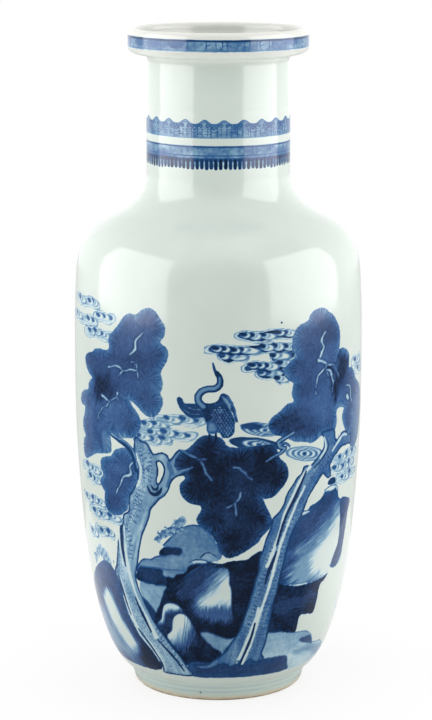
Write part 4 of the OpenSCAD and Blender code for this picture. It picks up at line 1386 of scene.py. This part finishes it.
# Glaze: its refraction, its roughness where the skin's bumps are low and high, and the heights in metres between
# which it runs thin below the mouth
GLAZE_IOR = 1.52
GLAZE_ROUGH = (0.09, 0.13)
THIN_FROM, THIN_TO = 0.434, 0.446
# Greener blue along the rims of dark washes
RIM_TINT = (0.62, 1.04, 1.1, 1)
# Heights of the two rings on the foot, and the place of a speck on it, in metres
FOOT_RINGS = (0.0068, 0.0102)
FOOT_SPECK = (-0.0122, -0.0589, 0.0062)


def blue_depth(tree, place):
    """Depth of blue that the brushwork leaves, and how far each place lies inside a wash. The washes are ragged and
    mottled, with streaks or bark scales in them, and the lines lie over them."""
    brush = add(tree, "Attribute", attribute_name="brushwork")
    parts = add(tree, "SeparateColor", {"Color": brush.outputs["Color"]})
    wash_in, wash_tone, line_in = parts.outputs
    ragged = add(tree, "TexNoise", {"Vector": place, "Scale": per(1.1), "Detail": 2.0})
    ragged = add(tree, "MapRange", {"Value": ragged.outputs["Fac"], "To Min": -0.35, "To Max": 0.35})
    wash_in = add(tree, "Math", {0: wash_in, 1: ragged.outputs[0]}, operation="ADD")
    wash_in = add(tree, "MapRange", {"Value": wash_in.outputs[0], "From Min": -0.45, "From Max": 0.4},
                  interpolation_type="SMOOTHSTEP")
    line_in = add(tree, "MapRange", {"Value": line_in, "From Min": -0.28, "From Max": 0.28},
                  interpolation_type="SMOOTHSTEP")
    mottle = add(tree, "TexNoise", {"Vector": place, "Scale": per(2.4), "Detail": 4.0, "Roughness": 0.65})
    mottle = add(tree, "MapRange", {"Value": mottle.outputs["Fac"], "From Min": 0.3, "From Max": 0.7,
                                    "To Min": 0.92, "To Max": 1.08})
    hairs = add(tree, "Attribute", attribute_name="hairs").outputs["Vector"]
    shown = add(tree, "SeparateXYZ", {"Vector": hairs}).outputs["Z"]
    streak = add(tree, "TexNoise", {"Vector": hairs, "Scale": 1.0, "Detail": 2.0}, noise_dimensions="2D")
    streak = add(tree, "MapRange", {"Value": streak.outputs["Fac"], "From Min": 0.3, "From Max": 0.7,
                                    "To Min": -0.5, "To Max": 0.5})
    twist = add(tree, "TexNoise", {"Vector": hairs, "Scale": 0.7, "Detail": 2.0}, noise_dimensions="2D")
    twist = add(tree, "VectorMath", {0: twist.outputs["Color"], 1: (1.6, 1.6, 0.0), 2: hairs},
                operation="MULTIPLY_ADD")
    scale = add(tree, "TexVoronoi", {"Vector": twist.outputs[0], "Scale": 1.0, "Randomness": 1.0},
                voronoi_dimensions="2D", feature="DISTANCE_TO_EDGE")
    scale = add(tree, "MapRange", {"Value": scale.outputs["Distance"], "From Min": 0.03, "From Max": 0.22,
                                   "To Min": -1.0, "To Max": 0.3})
    bark_like = add(tree, "Math", {0: shown, 1: 0.0}, operation="LESS_THAN")
    pattern = add(tree, "Mix", {0: bark_like.outputs[0], 2: streak.outputs[0], 3: scale.outputs[0]})
    pattern = add(tree, "Math", {0: pattern.outputs[0], 1: shown}, operation="MULTIPLY")
    depth = add(tree, "Math", {0: wash_tone, 1: mottle.outputs[0], 2: pattern.outputs[0]}, operation="MULTIPLY_ADD")
    depth = add(tree, "Math", {0: depth.outputs[0], 1: wash_in.outputs[0]}, operation="MULTIPLY")
    depth = add(tree, "Mix", {0: line_in.outputs[0], 2: depth.outputs[0], 3: brush.outputs["Alpha"]})
    return depth.outputs[0], parts.outputs[0]


def cobalt_under(tree, place, glaze, colours):
    """Colour of the glaze with cobalt under it, from mist to ink, and greener along the rims of dark washes."""
    depth, wash_in = blue_depth(tree, place)
    ramp = add(tree, "ValToRGB", {"Fac": depth})
    stops = [(0.1, colours.mist), (0.27, colours.pale), (0.45, colours.sky), (0.6, colours.cobalt),
             (0.76, colours.deep), (0.9, colours.navy), (1.0, colours.ink)]
    elements = ramp.color_ramp.elements
    elements[0].position, elements[0].color = stops[0][0], (*stops[0][1], 1)
    elements[1].position, elements[1].color = stops[-1][0], (*stops[-1][1], 1)
    for position, tint_colour in stops[1:-1]:
        elements.new(position).color = (*tint_colour, 1)
    cover = add(tree, "MapRange", {"Value": depth, "From Min": 0.0, "From Max": 0.12})
    rim = add(tree, "MapRange", {"Value": wash_in, "From Min": 7.0, "From Max": 1.0})
    dark = add(tree, "MapRange", {"Value": depth, "From Min": 0.45, "From Max": 0.6})
    rim = add(tree, "Math", {0: rim.outputs[0], 1: dark.outputs[0]}, operation="MULTIPLY")
    blue = add(tree, "Mix", {0: rim.outputs[0], 6: ramp.outputs["Color"], 7: RIM_TINT}, data_type="RGBA",
               blend_type="MULTIPLY")
    return add(tree, "Mix", {0: cover.outputs[0], 6: glaze, 7: blue.outputs[2]}, data_type="RGBA").outputs[2]


def glazed_porcelain(name, colours, painted):
    """White porcelain under a clear glaze: mirror-like, faintly green, a little uneven where it ran, with a fine
    orange-peel skin. On painted pieces cobalt lies under it, streaky in the washes and soft at the edges."""
    material, tree, output = new_material(name)
    place = add(tree, "TexCoord").outputs["Object"]
    thick = add(tree, "TexNoise", {"Vector": place, "Scale": per(60), "Detail": 3.0})
    thick = add(tree, "MapRange", {"Value": thick.outputs["Fac"], "From Min": 0.35, "From Max": 0.7})
    body = add(tree, "Mix", {0: thick.outputs[0], 6: (*colours.glaze, 1), 7: (*colours.glaze_thick, 1)},
               data_type="RGBA")
    height = add(tree, "SeparateXYZ", {"Vector": place}).outputs["Z"]
    mouth = add(tree, "MapRange", {"Value": height, "From Min": THIN_FROM, "From Max": THIN_TO})
    base = add(tree, "Mix", {0: mouth.outputs[0], 6: body.outputs[2], 7: (*colours.glaze_thin, 1)},
               data_type="RGBA").outputs[2]
    if painted:
        base = cobalt_under(tree, place, base, colours)
    peel = add(tree, "TexNoise", {"Vector": place, "Scale": per(7), "Detail": 2.0})
    relief = add(tree, "Bump", {"Height": peel.outputs["Fac"], "Strength": 0.06, "Distance": 0.0006})
    gloss = add(tree, "MapRange", {"Value": peel.outputs["Fac"], "To Min": GLAZE_ROUGH[0],
                                   "To Max": GLAZE_ROUGH[1]})
    shader = add(tree, "BsdfPrincipled", {"Base Color": base, "Roughness": gloss.outputs[0], "IOR": GLAZE_IOR,
                                          "Normal": relief.outputs[0]})
    tree.links.new(shader.outputs[0], output.inputs["Surface"])
    return material


def foot_porcelain(colours):
    """Foot of the same glazed porcelain with two thin cobalt rings. The standing edge is wiped bare: matt, sandy
    clay below the glaze's end, turning darker orange-brown along its very bottom, where the clay is scorched and
    where painted contact shade lies."""
    material, tree, output = new_material("bare_edged_porcelain")
    place = add(tree, "TexCoord").outputs["Object"]
    height = add(tree, "SeparateXYZ", {"Vector": place}).outputs["Z"]
    wander = add(tree, "TexNoise", {"Vector": place, "Scale": per(9), "Detail": 4.0})
    ragged = add(tree, "MapRange", {"Value": wander.outputs["Fac"], "From Min": 0.25, "From Max": 0.75,
                                    "To Min": -0.0007, "To Max": 0.0007})
    edge = add(tree, "Math", {0: height, 1: ragged.outputs[0]}, operation="ADD").outputs[0]
    glazed = add(tree, "MapRange", {"Value": edge, "From Min": 0.0022, "From Max": 0.0046})
    # Darker brown along the bottom two millimetres of the standing edge: scorched clay, and painted contact shade
    # where the foot meets the board
    burnt_and_shade = add(tree, "MapRange", {"Value": edge, "From Min": 0.0018, "From Max": 0.0004})
    grit = add(tree, "TexNoise", {"Vector": place, "Scale": per(1.2), "Detail": 5.0})
    clay = add(tree, "Mix", {0: burnt_and_shade.outputs[0], 6: (*colours.bare, 1), 7: (*colours.burnt_and_shade, 1)}, data_type="RGBA")
    sandy = add(tree, "MapRange", {"Value": grit.outputs["Fac"], "To Min": 0.75, "To Max": 1.15})
    clay = add(tree, "Mix", {0: 1.0, 6: clay.outputs[2], 7: sandy.outputs[0]}, data_type="RGBA",
               blend_type="MULTIPLY")
    base = add(tree, "Mix", {0: glazed.outputs[0], 6: clay.outputs[2], 7: (*colours.foot_glaze, 1)},
               data_type="RGBA").outputs[2]
    for ring in FOOT_RINGS:
        away = add(tree, "Math", {0: height, 1: ring}, operation="SUBTRACT")
        away = add(tree, "Math", {0: away.outputs[0]}, operation="ABSOLUTE")
        line = add(tree, "MapRange", {"Value": away.outputs[0], "From Min": 0.0014, "From Max": 0.0002,
                                      "To Max": 0.55})
        thin = add(tree, "Math", {0: line.outputs[0], 1: wander.outputs["Fac"]}, operation="MULTIPLY")
        base = add(tree, "Mix", {0: thin.outputs[0], 6: base, 7: (*colours.pale, 1)}, data_type="RGBA").outputs[2]
    speck = add(tree, "VectorMath", {0: place, 1: FOOT_SPECK}, operation="DISTANCE")
    speck = add(tree, "MapRange", {"Value": speck.outputs["Value"], "From Min": 0.0012, "From Max": 0.0005,
                                   "To Max": 0.8})
    base = add(tree, "Mix", {0: speck.outputs[0], 6: base, 7: (*colours.deep, 1)}, data_type="RGBA").outputs[2]
    gloss = add(tree, "MapRange", {"Value": glazed.outputs[0], "To Min": 0.75, "To Max": 0.1})
    relief = add(tree, "Bump", {"Height": grit.outputs["Fac"], "Strength": 0.12, "Distance": 0.0003})
    shader = add(tree, "BsdfPrincipled", {"Base Color": base, "Roughness": gloss.outputs[0], "IOR": GLAZE_IOR,
                                          "Normal": relief.outputs[0]})
    tree.links.new(shader.outputs[0], output.inputs["Surface"])
    return material


def glaze_material(painted):
    """The painted or the plain glaze, made once."""
    name = "cobalt_painted_glaze" if painted else "clear_glaze"
    return bpy.data.materials.get(name) or glazed_porcelain(name, bpy.context.scene.vase_colours, painted)


def glazed_piece(node, rows, skin=None):
    """Makes a glazed piece: painted where it has a skin, and otherwise plain."""
    painted = skin is not None
    steps = PAINTED_STEPS if painted else PLAIN_STEPS
    make_piece(node, rows, glaze_material(painted), steps, skin)


# Soft boxes at the sides: their distance in metres
BOX_AWAY = 1.4
# Their names, angle in degrees from the camera's side, breadth, lowest and highest place in metres, power in watts,
# and whether they light the vase: one does, and two only show in its glaze
SIDE_BOXES = (("soft_box", 90, 2.0, -0.35, 1.15, 16.0, True),
              ("wide_gleam", 74, 1.88, 0.09, 1.57, 24.5, False),
              ("gleam", 74, 1.65, 0.13, 1.57, 60.0, False))
# Colour of all boxes: a trace of rose, as studio tubes have
LAMP_TINT = (1.0, 0.955, 0.985)
# Box overhead: power in watts, breadth and height in metres
TOP_POWER = 18.5
TOP_WIDE = 2.2
TOP_HEIGHT = 1.2
# Level of the plain light from above and from below, and of the dim parts of the room that the glaze mirrors
ROOM_ABOVE = 0.38
ROOM_BELOW = 1.1
DIM_SIDE = 0.08
# Level of the white background as the glaze mirrors it
BRIGHT_SIDE = 1.2
# Breadth in metres and colour of the board that the vase stands on
BOARD_WIDE = 0.7
BOARD_WHITE = linear("#f2f2f0")
# Camera: place in metres, downward angle, and lens and frame height in millimetres
CAMERA_PLACE = (-0.0016, -1.7, 0.57125)
CAMERA_DOWN = math.radians(11.377)
CAMERA_LENS = 124.1
CAMERA_FRAME = 36


def floor_paint():
    """Matt white board: it takes the vase's shadow close by, and runs out into the white background. In the glaze
    its near side shows as dim as the front of the room."""
    material, tree, output = new_material("matt_white_board")
    place = add(tree, "TexCoord").outputs["Object"]
    path = add(tree, "LightPath")
    away = add(tree, "VectorMath", {0: place}, operation="LENGTH")
    far = add(tree, "MapRange", {"Value": away.outputs["Value"], "From Min": 0.07, "From Max": 0.25, "To Min": 0.8})
    depth = add(tree, "SeparateXYZ", {"Vector": place}).outputs["Y"]
    rear = add(tree, "MapRange", {"Value": depth, "From Min": -0.08, "From Max": 0.1})
    mirrored = add(tree, "Math", {0: path.outputs["Is Glossy Ray"], 1: rear.outputs[0]}, operation="MULTIPLY")
    seen = add(tree, "Math", {0: path.outputs["Is Camera Ray"], 1: path.outputs["Is Transmission Ray"]},
               operation="MAXIMUM")
    seen = add(tree, "Math", {0: seen.outputs[0], 1: mirrored.outputs[0]}, operation="MAXIMUM")
    seen = add(tree, "Math", {0: path.outputs["Is Diffuse Ray"], 1: 0.5, 2: seen.outputs[0]},
               operation="MULTIPLY_ADD")
    white = add(tree, "Math", {0: far.outputs[0], 1: seen.outputs[0]}, operation="MULTIPLY")
    near = add(tree, "Math", {0: path.outputs["Is Glossy Ray"], 1: mirrored.outputs[0]}, operation="SUBTRACT")
    shade = add(tree, "Mix", {0: near.outputs[0], 6: (*BOARD_WHITE, 1), 7: (DIM_SIDE, DIM_SIDE, DIM_SIDE, 1)},
                data_type="RGBA")
    board = add(tree, "BsdfDiffuse", {"Color": shade.outputs[2]})
    glow = add(tree, "Emission", {"Color": (1, 1, 1, 1), "Strength": 1.0})
    mix = add(tree, "MixShader", {0: white.outputs[0], 1: board.outputs[0], 2: glow.outputs[0]})
    tree.links.new(mix.outputs[0], output.inputs["Surface"])
    return material


def light_room(scene):
    """White background and plain light from all round. The glaze mirrors a room that is dim in front and below."""
    scene.world = bpy.data.worlds.new("white_room")
    scene.world.use_nodes = True
    tree = scene.world.node_tree
    tree.nodes.clear()
    way = add(tree, "SeparateXYZ", {"Vector": add(tree, "TexCoord").outputs["Generated"]})
    low = add(tree, "Math", {0: way.outputs["Z"], 1: 0.0}, operation="MINIMUM")
    front = add(tree, "Math", {0: low.outputs[0], 1: 0.9, 2: way.outputs["Y"]}, operation="MULTIPLY_ADD")
    front = add(tree, "MapRange", {"Value": front.outputs[0], "From Min": -0.9, "From Max": -0.5})
    above = add(tree, "MapRange", {"Value": way.outputs["Z"], "From Min": -0.2, "From Max": -0.08})
    table = add(tree, "MapRange", {"Value": way.outputs["Z"], "From Min": -0.35, "From Max": -0.55})
    white = add(tree, "Math", {0: above.outputs[0], 1: table.outputs[0]}, operation="MAXIMUM")
    rear = add(tree, "MapRange", {"Value": way.outputs["Y"], "From Min": 0.45, "From Max": 0.85, "To Max": 0.5})
    white = add(tree, "Math", {0: white.outputs[0], 1: rear.outputs[0]}, operation="MAXIMUM")
    white = add(tree, "Math", {0: front.outputs[0], 1: white.outputs[0]}, operation="MULTIPLY")
    bright = add(tree, "MapRange", {"Value": way.outputs["Z"], "From Min": 0.2, "From Max": 0.5,
                                    "To Min": BRIGHT_SIDE, "To Max": 1.0})
    mirrored = add(tree, "Mix", {0: white.outputs[0], 2: DIM_SIDE, 3: bright.outputs[0]})
    path = add(tree, "LightPath")
    plain = add(tree, "MapRange", {"Value": way.outputs["Z"], "From Min": -0.1, "From Max": 0.1,
                                   "To Min": ROOM_BELOW, "To Max": ROOM_ABOVE})
    level = add(tree, "Mix", {0: path.outputs["Is Glossy Ray"], 2: plain.outputs[0], 3: mirrored.outputs[0]})
    seen = add(tree, "Math", {0: path.outputs["Is Camera Ray"], 1: path.outputs["Is Transmission Ray"]},
               operation="MAXIMUM")
    level = add(tree, "Mix", {0: seen.outputs[0], 2: level.outputs[0], 3: 1.0})
    room = add(tree, "Background", {"Color": (1, 1, 1, 1), "Strength": level.outputs[0]})
    tree.links.new(room.outputs[0], add(tree, "OutputWorld").inputs["Surface"])


def hang_soft_box(name, place, facing, tall, wide, power, lights):
    """Soft box that the camera doesn't see: it either lights, or only shows in the glaze."""
    bpy.ops.object.light_add(type="AREA", location=place, rotation=facing)
    lamp = bpy.context.object
    lamp.name = lamp.data.name = name
    lamp.data.shape = "RECTANGLE"
    lamp.data.size, lamp.data.size_y, lamp.data.energy, lamp.data.color = wide, tall, power, LAMP_TINT
    lamp.visible_camera = False
    lamp.visible_diffuse, lamp.visible_glossy = lights, not lights


class VASE_OT_foot(bpy.types.Operator):
    """Turn the foot ring and the base plate that closes it"""

    bl_idname = "vase.foot"
    bl_label = "Foot and base"

    def execute(self, context):
        outline = Outline(context.scene.vase_sizes)
        material = foot_porcelain(context.scene.vase_colours)
        make_piece("foot_ring", outline.foot_ring(), material, PLAIN_STEPS)
        glazed_piece("base_plate", outline.base_plate())
        return {"FINISHED"}


class VASE_OT_body(bpy.types.Operator):
    """Turn the three body rings and paint the pines, crane, rocks and clouds on them"""

    bl_idname = "vase.body"
    bl_label = "Painted body"

    def execute(self, context):
        outline = Outline(context.scene.vase_sizes)
        skin = Skin(radius=98.0, low=14, high=300, cell=0.4, seed=7)
        paint_body(skin)
        glazed_piece("lower_body", outline.lower_body(BODY_ROW), skin)
        glazed_piece("middle_body", outline.middle_body(BODY_ROW), skin)
        glazed_piece("upper_body", outline.upper_body(UPPER_BODY_ROW), skin)
        return {"FINISHED"}


class VASE_OT_shoulder(bpy.types.Operator):
    """Turn the plain shoulder"""

    bl_idname = "vase.shoulder"
    bl_label = "Shoulder"

    def execute(self, context):
        outline = Outline(context.scene.vase_sizes)
        glazed_piece("shoulder", outline.shoulder(SHOULDER_ROW))
        return {"FINISHED"}


class VASE_OT_neck(bpy.types.Operator):
    """Turn both rings of the neck and paint the two borders"""

    bl_idname = "vase.neck"
    bl_label = "Neck"

    def execute(self, context):
        outline = Outline(context.scene.vase_sizes)
        skin = Skin(radius=49.4, low=362, high=407, cell=0.2, seed=11)
        paint_lappets(skin)
        paint_fringe(skin)
        glazed_piece("lower_neck", outline.lower_neck(LOWER_NECK_ROW), skin)
        glazed_piece("upper_neck", outline.upper_neck(UPPER_NECK_ROW))
        return {"FINISHED"}


class VASE_OT_mouth(bpy.types.Operator):
    """Turn the dished mouth and paint the border on its edge"""

    bl_idname = "vase.mouth"
    bl_label = "Mouth"

    def execute(self, context):
        outline = Outline(context.scene.vase_sizes)
        skin = Skin(radius=62.0, low=445, high=459, cell=0.25, seed=13)
        paint_rim(skin)
        glazed_piece("mouth_rim", outline.mouth_rim(MOUTH_ROW), skin)
        return {"FINISHED"}


class VASE_OT_stage(bpy.types.Operator):
    """Set the pale floor, the soft boxes, the white background and the camera"""

    bl_idname = "vase.stage"
    bl_label = "Stage"

    def execute(self, context):
        scene = context.scene
        scene.view_settings.view_transform = "Standard"
        bpy.ops.object.select_all(action="DESELECT")
        bpy.ops.mesh.primitive_plane_add(size=BOARD_WIDE)
        floor = context.object
        floor.name = floor.data.name = "floor"
        floor.data.materials.append(floor_paint())
        light_room(scene)
        for side, name in ((-1, "left"), (1, "right")):
            for kind, degrees, wide, low, high, power, lights in SIDE_BOXES:
                turn = math.radians(degrees)
                place = (side * BOX_AWAY * math.sin(turn), -BOX_AWAY * math.cos(turn), (low + high) / 2)
                hang_soft_box(f"{kind}_{name}", place, (math.pi / 2, 0, side * turn), high - low, wide, power,
                              lights)
        hang_soft_box("soft_box_top", (0, 0, TOP_HEIGHT), (0, 0, 0), TOP_WIDE, TOP_WIDE, TOP_POWER, True)
        bpy.ops.object.camera_add(location=CAMERA_PLACE, rotation=(math.pi / 2 - CAMERA_DOWN, 0, 0))
        camera = context.object
        camera.name = camera.data.name = "camera"
        camera.data.sensor_fit = "VERTICAL"
        camera.data.sensor_height = CAMERA_FRAME
        camera.data.lens = CAMERA_LENS
        scene.camera = camera
        return {"FINISHED"}


class VASE_PT_panel(bpy.types.Panel):
    """Steps, sizes and colours of the vase"""

    bl_idname = "VASE_PT_panel"
    bl_label = "Rouleau vase"
    bl_space_type = "VIEW_3D"
    bl_region_type = "UI"
    bl_category = "Vase"

    def draw(self, context):
        for step in STEPS:
            self.layout.operator(step.bl_idname)
        for group in (context.scene.vase_sizes, context.scene.vase_colours):
            column = self.layout.column()
            for name in group.__annotations__:
                column.prop(group, name)


STEPS = (VASE_OT_foot, VASE_OT_body, VASE_OT_shoulder, VASE_OT_neck, VASE_OT_mouth, VASE_OT_stage)
CLASSES = (VaseSizes, VaseColours, *STEPS, VASE_PT_panel)


def register():
    """Adds the classes and the vase's settings."""
    for cls in CLASSES:
        bpy.utils.register_class(cls)
    bpy.types.Scene.vase_sizes = bpy.props.PointerProperty(type=VaseSizes)
    bpy.types.Scene.vase_colours = bpy.props.PointerProperty(type=VaseColours)


def unregister():
    """Takes the settings and the classes away."""
    del bpy.types.Scene.vase_colours
    del bpy.types.Scene.vase_sizes
    for cls in reversed(CLASSES):
        bpy.utils.unregister_class(cls)


def main():
    """Makes the vase step by step."""
    register()
    bpy.ops.vase.foot()
    bpy.ops.vase.body()
    bpy.ops.vase.shoulder()
    bpy.ops.vase.neck()
    bpy.ops.vase.mouth()
    bpy.ops.vase.stage()


if __name__ == "__main__":
    main()
